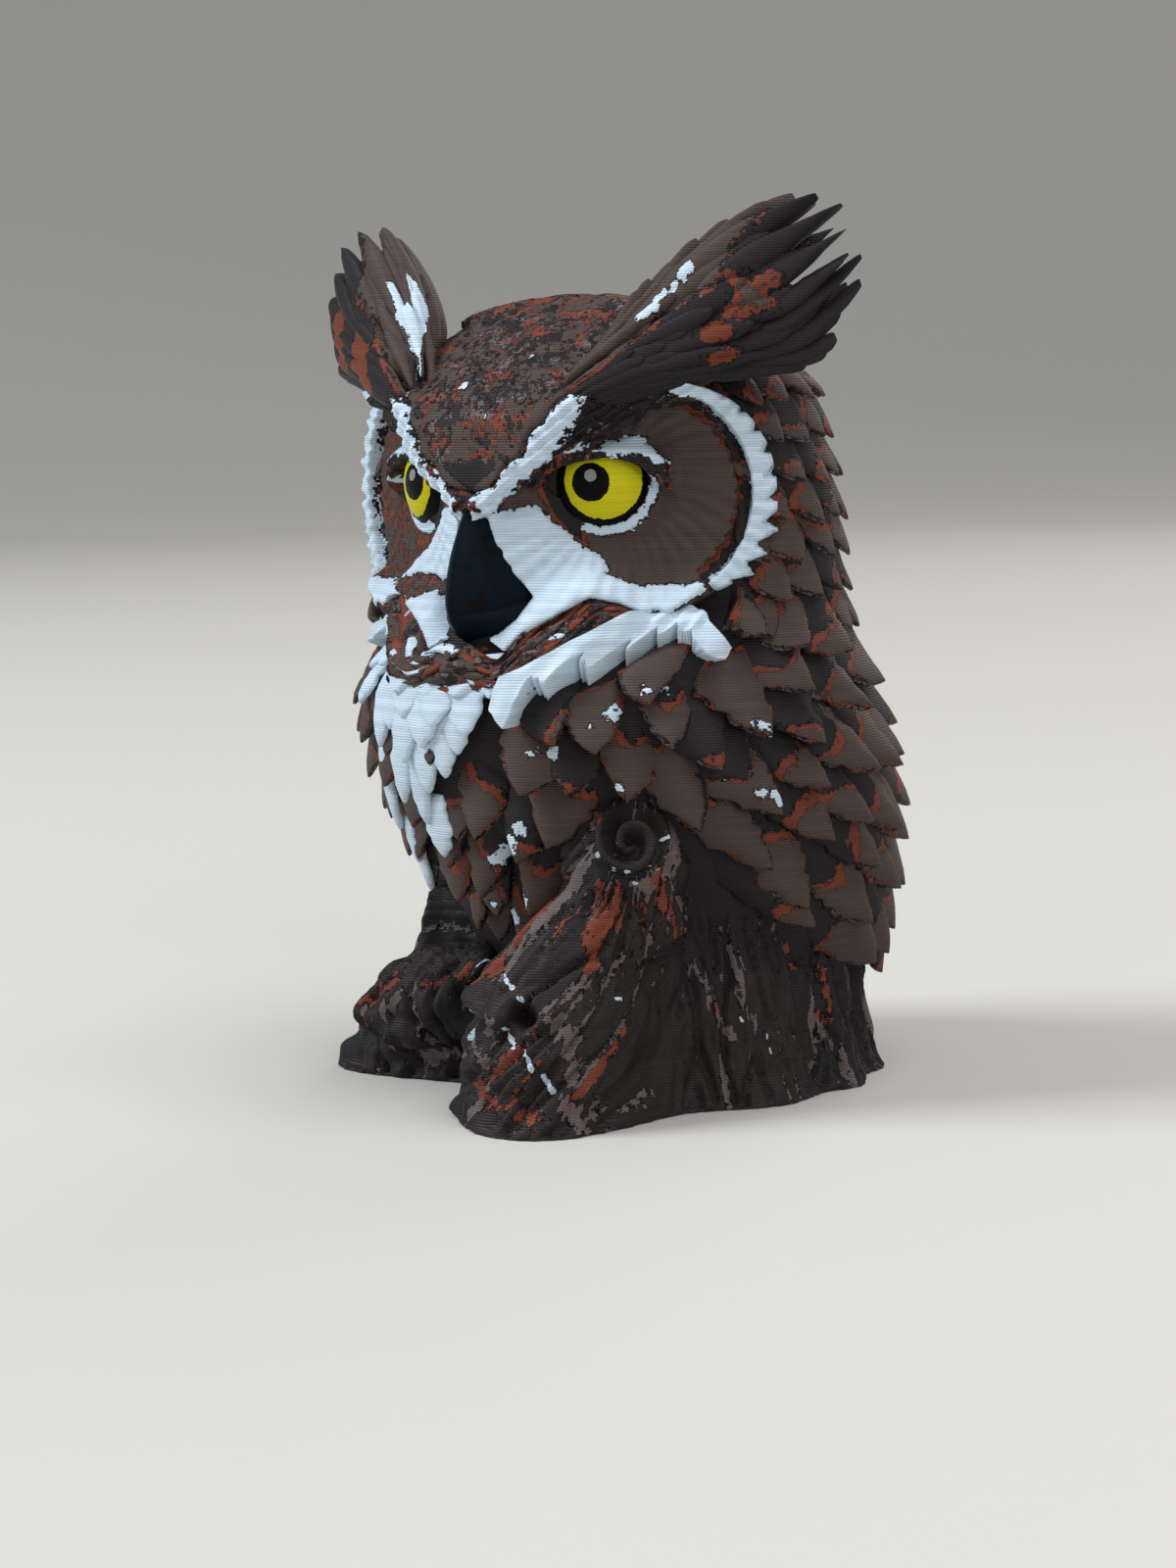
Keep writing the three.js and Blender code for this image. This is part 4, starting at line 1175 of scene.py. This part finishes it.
def makeTuft(side, name):
    bm, fields, speckle = newMesh()
    dice = random.Random(41)
    shrink = 1 if side > 0 else tuft["rightShrink"]

    def toHead(point):
        return turned(Vector((point.x * side, point.y, point.z)), body["headTurn"])

    def place(vert, across, along):
        angle = (across - 0.5) * 2 * math.pi
        t = mix(tuft["from"], tuft["to"] * shrink, along)
        if along in (0, 1):
            vert.co = toHead(tuftPoint(t, 0, 0).lerp(tuftPoint(t, math.pi, 0), 0.5))
            return
        closing = smooth(along, 1.0, 0.8) ** 0.5
        strand = 0.05 * math.cos(angle * 22 + 1.5 * math.sin(t * 12)) - 1.6 * (1 - closing)
        vert.co = toHead(tuftPoint(t, angle, strand - 1.5 * smooth(t, 0.42, 0.30)))
        vert[fields] = tuftPaint(t, angle, side)
        vert[speckle] = 0.02

    closedGrid(bm, tuft["columns"], tuft["rows"], place)

    def addBlade(tip, degrees, length, width, lift, thick, form):
        angle = math.radians(degrees)
        tip = tip if tip < 0.6 else mix(0.6, tip, 1 - (1 - shrink) * 3)
        start = tip - length / tuft["length"]
        wide = 4.6 + 3.2 * math.sin(math.pi * min(1, max(0.1, start)))

        def spot(across, along, height):
            here = start + along / tuft["length"]
            return toHead(tuftPoint(here, angle + across / wide, height))

        def paint(u, v, across):
            return tuftPaint(start + v * length / tuft["length"], angle + across / wide, side)

        feather = {**tuft["cut"], "width": width, "length": length, "thick": thick, "lift": lift,
                   "seed": tip * 91 + degrees, **form}
        addFeather(bm, spot, feather, paint)

    blunt = tuft["blunt"]
    ends, edgeLift = (tuft["sharp"], 0.75) if side > 0 else (blunt, 0.4)
    for tip, degrees, length, width, lift in tuft["tips"]:
        addBlade(tip, degrees, length, width, lift, tuft["tipThick"], ends)
    for tip, degrees, length, width, lift in tuft["plates"]:
        addBlade(tip, degrees, length, width, lift, tuft["plateThick"], blunt)
    for tip, degrees, length in tuft["edge"]:
        addBlade(tip, degrees, length, tuft["edgeWidth"], edgeLift, tuft["edgeThick"], ends)
    scales = tuft["scales"]
    for row in range(scales["rows"]):
        for index in range(scales["each"]):
            degrees = scales["first"] + (index + (row % 2) / 2) * scales["step"]
            tip = scales["from"] + row * scales["pitch"] + 0.01 * index + dice.uniform(-0.01, 0.01)
            addBlade(tip, degrees, scales["length"], scales["width"], scales["lift"], scales["thick"],
                     {**blunt, "crown": 0.2})
    return finishPiece(bm, name, plumagePrint, weld=False)


makeTuft(1, "left_tuft")
makeTuft(-1, "right_tuft")
print("tufts ready")


# the moustache of strands under the white lip, and the white fringe below it

moustache = {
    # its edges in the face's own frame, from the middle outward
    "top": [
        (-11.5, -11.7), (-9.8, -11.8), (-8.2, -12.7), (-7.4, -12.8), (-5.8, -11.0), (-3.7, -9.8),
        (-0.5, -8.1), (1.8, -8.5), (4.2, -9.3)],
    "bottom": [
        (-11.5, -15.4), (-8.2, -15.3), (-5.0, -14.7), (-2.9, -13.4), (-1.5, -12.3), (0.4, -10.7),
        (1.9, -10.1), (4.2, -9.9)],
    "inner": -11.6, "outer": 4.0, "strands": 190,
    "cut": {"thick": 0.5, "sunk": -0.2, "tipFrom": 0.4, "tipPower": 1.8, "tipRound": 0.7,
            "rise": 0.8, "crown": 0.3, "sides": 8, "rings": 10, "ragged": 0.3, "speckle": 0.35},
    "middle": 14,                      # azimuth of its lowest point
    # the white fringe: its lower edge of points and its upper edge, azimuth and height
    "points": [
        (22, 31.9), (26, 30.2), (30, 32.4), (33.5, 31.7), (36, 33.9), (40, 33.0), (42, 35.4),
        (44.5, 34.5), (46.5, 36.2), (49, 35.6), (52, 36.4), (55, 35.9), (60, 35.9), (66, 35.0),
        (69, 34.8), (70.5, 35.6)],
    "upper": [
        (22, 32.4), (27, 33.8), (30, 35.2), (34, 37.0), (42, 38.2), (50, 38.2), (60, 37.4), (66, 36.6),
        (70.5, 35.7)],
    "fringeLift": 1.9, "grid": (90, 26), "fringeGrid": (260, 44),
}


def moustachePoint(s, c, height, side):
    # s runs outward from the middle of the face, c from the lower edge up to the lip
    low, high = lineValue(moustache["bottom"], s), lineValue(moustache["top"], s)
    t = mix(low, high, c)
    base = min(1.9 + 0.6 * max(0, -9.8 - t), 2.3 + 0.5 * max(0, 8.8 + 0.86 * s)) + 0.8
    roll = 1.3 * math.sin(math.pi * min(0.97, max(0.03, c))) ** 0.7 * smooth(s, 4.6, 1.5)
    return facePoint(s, t, base + roll + height, side)


def makeMoustache():
    bm, fields, speckle = newMesh()
    dice = random.Random(61)
    for side in (1, -1):
        def place(vert, across, along, side=side):
            edge = min(across, 1 - across, along, 1 - along)
            s = mix(moustache["inner"], moustache["outer"], across)
            vert.co = moustachePoint(s, along, -0.2 - 3 * smooth(edge, 0.03, 0), side)
            vert[fields] = (-3, -0.3, 0.1, -0.4)
            vert[speckle] = 0.5

        warpedGrid(bm, *moustache["grid"], place)
        for strand in range(moustache["strands"]):
            s = mix(moustache["inner"] - 0.5, moustache["outer"] - 2.5, strand / moustache["strands"])
            s += dice.uniform(-0.5, 0.5)
            c, bend, length = dice.uniform(0.02, 0.98), dice.uniform(-0.5, 0.3), dice.uniform(2.2, 4.6)
            tone = dice.random()
            white, brown = -2.6 if tone < 0.95 else 0.4, 0.4 if tone < 0.42 else -0.8
            paint = (white, brown, 0.5 if tone > 0.66 else -0.5, -0.35)
            feather = {**moustache["cut"], "width": dice.uniform(0.6, 1.0), "length": length,
                       "lift": dice.uniform(0.15, 0.8), "seed": 2500 + strand}

            def spot(across, along, height, s=s, c=c, bend=bend, side=side):
                up = min(1.1, max(-0.1, c + (across + bend * along) / 3))
                return moustachePoint(s + along, up, height, side)

            addFeather(bm, spot, feather, lambda u, v, a, paint=paint: paint)
    return finishPiece(bm, "moustache", plumagePrint, weld=False)


def makeFringe():
    # a white plate on the breast with a lower edge of points, and its fellow beyond the moustache
    bm, fields = newMesh()[:2]
    first, last = moustache["points"][0][0], moustache["points"][-1][0]
    for side in (1, -1):
        def place(vert, across, along, side=side):
            degrees = mix(first if side > 0 else 2 * moustache["middle"] + 16, last, across)
            ragged = 0.3 * noise.noise(Vector((degrees * 0.9, side, 5))) * smooth(along, 0.3, 0.0)
            low, high = (lineValue(moustache[key], degrees) for key in ("points", "upper"))
            z = mix(low + ragged, high, along)
            fold = 0.10 * math.cos(degrees * 0.9 + z * 1.3)
            fold += 0.25 * noise.noise(Vector((degrees * 0.25, z * 0.8, 9)))
            ends = smooth(min(across, 1 - across), 0, 0.02)
            edge = min(smooth(along, 0.0, 0.09), smooth(along, 1.0, 0.92), ends)
            turn = degrees if side > 0 else 2 * moustache["middle"] - degrees
            lift = moustache["fringeLift"] + 1.1 * smooth(degrees, 42, 34) + fold
            vert.co = onSkin(math.radians(turn), z, mix(-0.6, lift, edge ** 0.5))
            vert[fields] = (1.4, 0.2, 0, -0.3)

        warpedGrid(bm, *moustache["fringeGrid"], place)
    return finishPiece(bm, "white_fringe", plumagePrint, weld=False)


makeMoustache()
makeFringe()
print("moustache ready")


# the root stump

stump = {
    "y": 4,                            # how far the trunk's axis lies behind the owl's own
    "radius": 17.9, "foot": 2.0, "footHeight": 3, "flute": 0.6, "flutes": 11,
    # azimuth, spread on the right and on the left, bluntness and reach
    "roots": [(28, 21.5, 19.5, 2.6, 9.5), (-46, 16, 16, 2, 5.2), (-12, 17, 17, 2, -5.6)],
    "middleTop": 12, "notchTop": 8, "toeAzimuth": 22, "toeHeight": 12, "farRootHeight": 8.5,
    "knotAzimuth": 50, "knotHeight": 25, "knot": Vector((16.0, -10.8, 21.5)), "boss": 5.2,
    # each root's line and its radii along it
    "nearRoot": (vectors([(13.0, -5.4, 18.4), (11.4, -11.2, 12.8), (8.4, -18.4, 5.4)]), [5.0, 4.9, 5.0]),
    "farRoot": (vectors([(-3.0, -6.5, 7.4), (-9.0, -9.6, 6.0), (-14.0, -10.6, 3.2)]), [4.2, 4.4, 4.7]),
    "hollows": [
        ((8.0, -22.0, 7.4), 1.6), ((13.2, -19.8, 9.2), 1.1), ((-8.2, -14.6, 9.6), 1.0),
        ((9.8, -21.6, 4.0), 0.9)],
    "hollowDepth": 2.0, "voxel": 0.32, "smoothing": 8, "underWing": 1.5,
    "trunkGrid": (160, 40), "limbGrid": (32, 24),
    # streaks of colour on the front: azimuth and height of both ends, half width
    "white": [
        (25.5, 7.7, 28, 6.7, 0.2), (30, 6.4, 31.5, 5.1, 0.18), (33.5, 4.7, 35, 3.5, 0.2),
        (23.5, 12.0, 26.5, 11.0, 0.15), (80.6, 5.4, 81.2, 4.1, 0.15), (74, 7.0, 74.3, 6.5, 0.17),
        (44.4, 9.7, 45.2, 9.6, 0.15), (28, 10.2, 29, 10, 0.12)],
    "rust": [
        (41.1, 18.1, 39.4, 14.3, 0.5), (44.6, 18.2, 44.1, 15.2, 0.45), (42, 16.5, 40.2, 12.6, 0.6),
        (52.7, 19, 53.5, 16.5, 0.6), (55.1, 16.8, 56.6, 14, 0.45), (49.1, 12.6, 49.7, 10.3, 0.3),
        (92.3, 13.1, 92.3, 11.9, 0.7), (92.3, 11.9, 97, 10, 0.22), (49.3, 16.6, 49.6, 14.8, 0.25),
        (28.5, 16.6, 22.5, 14.4, 0.5), (21, 12.6, 17.5, 11.0, 0.4), (20, 3.4, 25, 2.2, 0.5),
        (28, 2.2, 32, 1.7, 0.5), (-29.5, 8, -35.2, 6.2, 0.5), (-15.4, 9.6, -21.1, 8.3, 0.45),
        (100.7, 6.1, 104.6, 5.5, 0.3)],
    "mauve": [
        (63.6, 11.2, 70.7, 5.4, 0.4), (68.8, 11.0, 77.4, 6.3, 0.3), (72.3, 13.8, 75.3, 9.1, 0.35),
        (101, 5.7, 106.5, 3.1, 0.45), (106.5, 3.1, 107, 0.4, 0.4), (100.8, 4.5, 98, 2.3, 0.3),
        (33.9, 9.2, 37.4, 7.2, 0.6), (37.1, 7.4, 38.5, 3.7, 0.6), (36.6, 2.8, 39.9, 0.6, 0.5),
        (41.4, 2.8, 42.6, 0.2, 0.3), (38, 20.5, 28, 15.0, 0.9), (28, 15, 22, 12.5, 0.6),
        (18, 6.2, 24, 3.0, 0.5), (-28, 1.5, -22, 2.4, 0.5), (50.7, 2.1, 46.3, 1.5, 0.4),
        (56, 19.5, 62, 15, 0.3), (24, 8.4, 20, 6.6, 0.4), (-24, 7.6, -30, 5.6, 0.5)],
    "streakScale": 0.42,               # millimetres round for each degree
    # white spots on the knot: across and up from its middle
    "knotSpots": [(-2.6, -0.9), (-1.4, -2.0), (-0.3, -2.1), (1.7, -2.0), (0.3, -3.1), (2.6, 0.1)],
}


def ridgeHeight(degrees):
    if degrees < stump["roots"][2][0]:
        return stump["farRootHeight"]
    nearKnot = smooth(degrees, stump["toeAzimuth"], stump["knotAzimuth"])
    return mix(stump["toeHeight"], stump["knotHeight"], nearKnot)


def barkRadius(degrees, z):
    azimuth = math.radians(degrees)
    radius = stump["radius"] + stump["foot"] * math.exp(-z / stump["footHeight"])
    radius -= stump["underWing"] * smooth(z, 8, 14) * smooth(degrees, 56, 68)
    radius += stump["flute"] * math.sin(stump["flutes"] * azimuth + 1.6 * math.sin(3 * azimuth))
    blunt = mix(4, 3, smooth(degrees, stump["toeAzimuth"], stump["knotAzimuth"]))
    for at, right, left, power, reach in stump["roots"]:
        shape = 1 - min(1, max(0, z / ridgeHeight(degrees))) ** blunt if reach > 0 else 1
        away = abs(degrees - at) / (right if degrees > at else left)
        radius += reach * math.exp(-away ** power) * shape
    return radius


def trunkTop(degrees):
    under = lowestTips(degrees) + 1.5
    knotAt = stump["knotAzimuth"]
    if degrees > knotAt:
        return mix(stump["knotHeight"] - 3, under, smooth(degrees, knotAt, knotAt + 25))
    if degrees > 0:
        return mix(stump["notchTop"], ridgeHeight(degrees) - 2, smooth(degrees, 4, stump["toeAzimuth"]))
    return mix(under, stump["notchTop"], smooth(degrees, -78, -42))


def addTrunk(bm):
    def place(vert, across, along):
        azimuth = (across - 0.5) * 2 * math.pi
        degrees = math.degrees(azimuth)
        if along in (0, 1):
            vert.co = (0, stump["y"], along * stump["middleTop"])
            return
        rows = stump["trunkGrid"][1]
        z = trunkTop(degrees) * ((along - 1 / rows) / (1 - 2 / rows)) ** 1.3
        radius = barkRadius(degrees, z)
        vert.co = (radius * math.sin(azimuth), stump["y"] - radius * math.cos(azimuth), z)

    closedGrid(bm, *stump["trunkGrid"], place)


def addLimb(bm, line, radii):
    def place(vert, across, along):
        angle = (across - 0.5) * 2 * math.pi
        middle = through(line, along)
        if along in (0, 1):
            vert.co = middle
            return
        run = (through(line, min(1, along + 0.02)) - through(line, max(0, along - 0.02))).normalized()
        sideways = Vector((0, 0, 1)).cross(run).normalized()
        third = sideways.cross(run)
        s = along * (len(radii) - 1)
        i = min(int(s), len(radii) - 2)
        radius = mix(radii[i], radii[i + 1], s - i) * math.sqrt(1 - 0.75 * (2 * along - 1) ** 8)
        vert.co = middle + sideways * (radius * math.sin(angle)) + third * (radius * math.cos(angle))

    closedGrid(bm, *stump["limbGrid"], place)


def barkGrain(point):
    # across the grain, and along it: the grain is upright, and slants down the near root
    degrees = math.degrees(math.atan2(point.x, stump["y"] - point.y))
    slant = smooth(degrees, 60, 40) * smooth(degrees, -5, 15)
    return degrees * 0.36 - 0.62 * (point.z - 8) * slant, point.z * mix(1, 1.35, slant), degrees


def barkRelief(point):
    across, along, degrees = barkGrain(point)
    deep = noise.noise(Vector((across * 0.42, along * 0.09, 3.1)))
    fine = noise.noise(Vector((across * 1.5, along * 0.22, 7.7)))
    hair = noise.noise(Vector((across * 3.4, along * 0.5, 1.3)))
    lump = noise.noise(point * 0.33)
    knobs = noise.noise(point * 0.5) * smooth(degrees, 44, 30) * smooth(point.z, 13, 9)
    relief = -0.75 * smooth(abs(deep), 0.16, 0.0) - 0.24 * smooth(abs(fine), 0.2, 0.0)
    relief += 0.3 * lump + 0.10 * hair + 0.9 * knobs
    knotX, knotZ = knotPlace(point)
    toKnot = math.hypot(knotX, knotZ)
    if (point - stump["knot"]).length < 5.5:
        swirl = 0.75 * math.cos(toKnot * 4.2 + math.atan2(knotZ, knotX)) * smooth(toKnot, 3.4, 2.4)
        relief = mix(swirl - 0.8 * smooth(toKnot, 0.9, 0.1), relief, smooth(toKnot, 2.6, 4.2))
    return relief


def knotPlace(point):              # across and up from the knot's middle, seen from in front of it
    turn = math.radians(stump["knotAzimuth"])
    away = point - stump["knot"]
    return away.x * math.cos(turn) + away.y * math.sin(turn), away.z


def streak(colour, degrees, z):    # how far inside the nearest streak of this colour
    scale = stump["streakScale"]
    best = -3
    for fromDegrees, fromZ, toDegrees, toZ, half in stump[colour]:
        if abs(degrees - (fromDegrees + toDegrees) / 2) < 9 and abs(z - (fromZ + toZ) / 2) < 6:
            line = [(fromDegrees * scale, fromZ), (toDegrees * scale, toZ)]
            best = max(best, half - awayFrom(line, degrees * scale, z))
    return best


def barkPaint(point, degrees):
    white, rust, mauve = (streak(colour, degrees, point.z) for colour in ("white", "rust", "mauve"))
    knotX, knotZ = knotPlace(point)
    toKnot = math.hypot(knotX, knotZ)
    if (point - stump["knot"]).length < 6:
        ring = 0.8 - abs(toKnot - 3.6)
        mauve = max(mauve, min(ring, 1.2 + knotX * 0.5 + knotZ * 0.35))
        white = max(white, *(0.2 - math.hypot((knotX - a) * 0.7, knotZ - b) for a, b in stump["knotSpots"]))
    return (white, -3, rust, mauve)


def makeStump():
    bm = bmesh.new()
    addTrunk(bm)
    addLimb(bm, *stump["nearRoot"])
    addLimb(bm, *stump["farRoot"])
    ball = Matrix.Translation(stump["knot"] + Vector((-3.4, 2.6, -2.2)))
    bmesh.ops.create_icosphere(bm, subdivisions=4, radius=stump["boss"], matrix=ball)
    bmesh.ops.recalc_face_normals(bm, faces=bm.faces)
    rough = bpy.data.meshes.new("roughStump")
    bm.to_mesh(rough)
    bm.free()
    holder = bpy.data.objects.new("roughStump", rough)
    bpy.context.scene.collection.objects.link(holder)
    remesh = holder.modifiers.new("fuse", "REMESH")
    remesh.mode = "VOXEL"
    remesh.voxel_size = stump["voxel"]
    depsgraph = bpy.context.evaluated_depsgraph_get()
    fused = bpy.data.meshes.new_from_object(holder.evaluated_get(depsgraph))
    bpy.data.objects.remove(holder)
    bm = newMesh()[0]
    bm.verts.layers.float_vector.new("grain")
    bm.from_mesh(fused)
    fields, grain = bm.verts.layers.float_color["filament"], bm.verts.layers.float_vector["grain"]
    for step in range(stump["smoothing"]):
        bmesh.ops.smooth_vert(bm, verts=bm.verts, factor=0.5,
                              use_axis_x=True, use_axis_y=True, use_axis_z=True)
    bm.normal_update()
    moves = []
    for vert in bm.verts:
        relief = barkRelief(vert.co)
        for spot, radius in stump["hollows"]:
            away = (vert.co - Vector(spot)).length
            relief -= stump["hollowDepth"] * smooth(away, radius * 1.4, radius * 0.5)
        moves.append((vert, relief * smooth(vert.co.z, 0.0, 0.6)))
    for vert, relief in moves:
        across, along, degrees = barkGrain(vert.co)
        vert[grain] = (across * mm, along * mm, relief)
        vert[fields] = barkPaint(vert.co, degrees)
        vert.co = vert.co + vert.normal * relief
        vert.co.z = max(0, vert.co.z)
    return finishPiece(bm, "stump", makeBarkPrint())


bark = {
    "roughness": 0.5, "brown": (0.023, 0.0185, 0.0188, 1),
    "mauveFrom": 0.64, "rustFrom": 0.68, "whiteFrom": 0.79,      # above these the noise turns a colour
    "mauveFray": 2.8, "rustFray": 2.2,             # how far the drawn streaks fray, in mm
    "step": 0.09, "whiteStep": 0.1, "grit": 0.05, "pitDepth": 0.1,
}


def makeBarkPrint():
    material, tree, shader, place = newMaterial("printedBark", bark["roughness"])
    snapped, ridge, tint = layerLines(place)
    grain = place.node("Attribute", {"attribute_name": "grain"}, out=1)
    fieldsHere = storedFields(place)
    white, rust, mauve = fieldsHere[0], fieldsHere[2], fieldsHere[3]
    streaks = grain.stretched((1, 0.14, 0))
    jag = snapped.noise(1.6, 2.0, 1).parts("SeparateColor", "Color")
    broad = grain.stretched((0.6, 0.22, 0)).noise(0.16, 1.0)
    fray = streaks.moved((0.01, 0.05, 0)).noise(1.9, 2.0) - 0.5
    mauveRun = streaks.noise(0.75, 2.0) + (jag[0] - 0.5) * 0.28
    rustRun = streaks.moved((0.07, 0.02, 0)).noise(0.55, 2.0) + (jag[1] - 0.5) * 0.24
    whiteRun = streaks.moved((0.03, 0.09, 0)).noise(1.1, 1.0) + (jag[2] - 0.5) * 0.12
    browner = (snapped.noise(0.09, 1.0) - 0.45).above(-0.03, 0.08)
    colour = browner.blend(filament["charcoal"], bark["brown"])
    drawnMauve = mauve + fray * bark["mauveFray"] + (jag[0] - 0.5) * 1.8 - 0.12
    drawnRust = rust + fray * bark["rustFray"] + (jag[1] - 0.5) * 1.6 - 0.1
    drawnWhite = white + (jag[2] - 0.5) * 0.5
    looseRust = rustRun + (broad - 0.5) * 0.25 - bark["rustFrom"]
    mauveEdge = mauveRun.math("MAXIMUM", (mauveRun - bark["mauveFrom"]) * 4, drawnMauve)
    rustEdge = rustRun.math("MAXIMUM", looseRust * 4, drawnRust)
    whiteEdge = whiteRun.math("MAXIMUM", (whiteRun - bark["whiteFrom"]) * 4, drawnWhite)
    colour = (mauveEdge > 0).blend(colour, filament["mauve"])
    colour = (rustEdge > 0).blend(colour, filament["rust"])
    edges = mauveEdge.math("MAXIMUM", mauveEdge, rustEdge)
    # painted crevice shade: near-black pits along the edges of mauve and rust, dented a little as well
    pitShade = (1 - edges.math("ABSOLUTE", edges).above(0.04, 0.22)) * (jag[2] > 0.55)
    colour = pitShade.blend(colour, filament["pitShade"])
    colour = (whiteEdge > 0).blend(colour, filament["white"])
    height = edges.above(-0.1, 0.1) * bark["step"] + whiteEdge.above(-0.1, 0.1) * bark["whiteStep"]
    height = height + jag[0] * bark["grit"] - pitShade * bark["pitDepth"]
    finishShader(tree, shader, colour, height, ridge, tint)
    return material


makeStump()
print("stump ready")
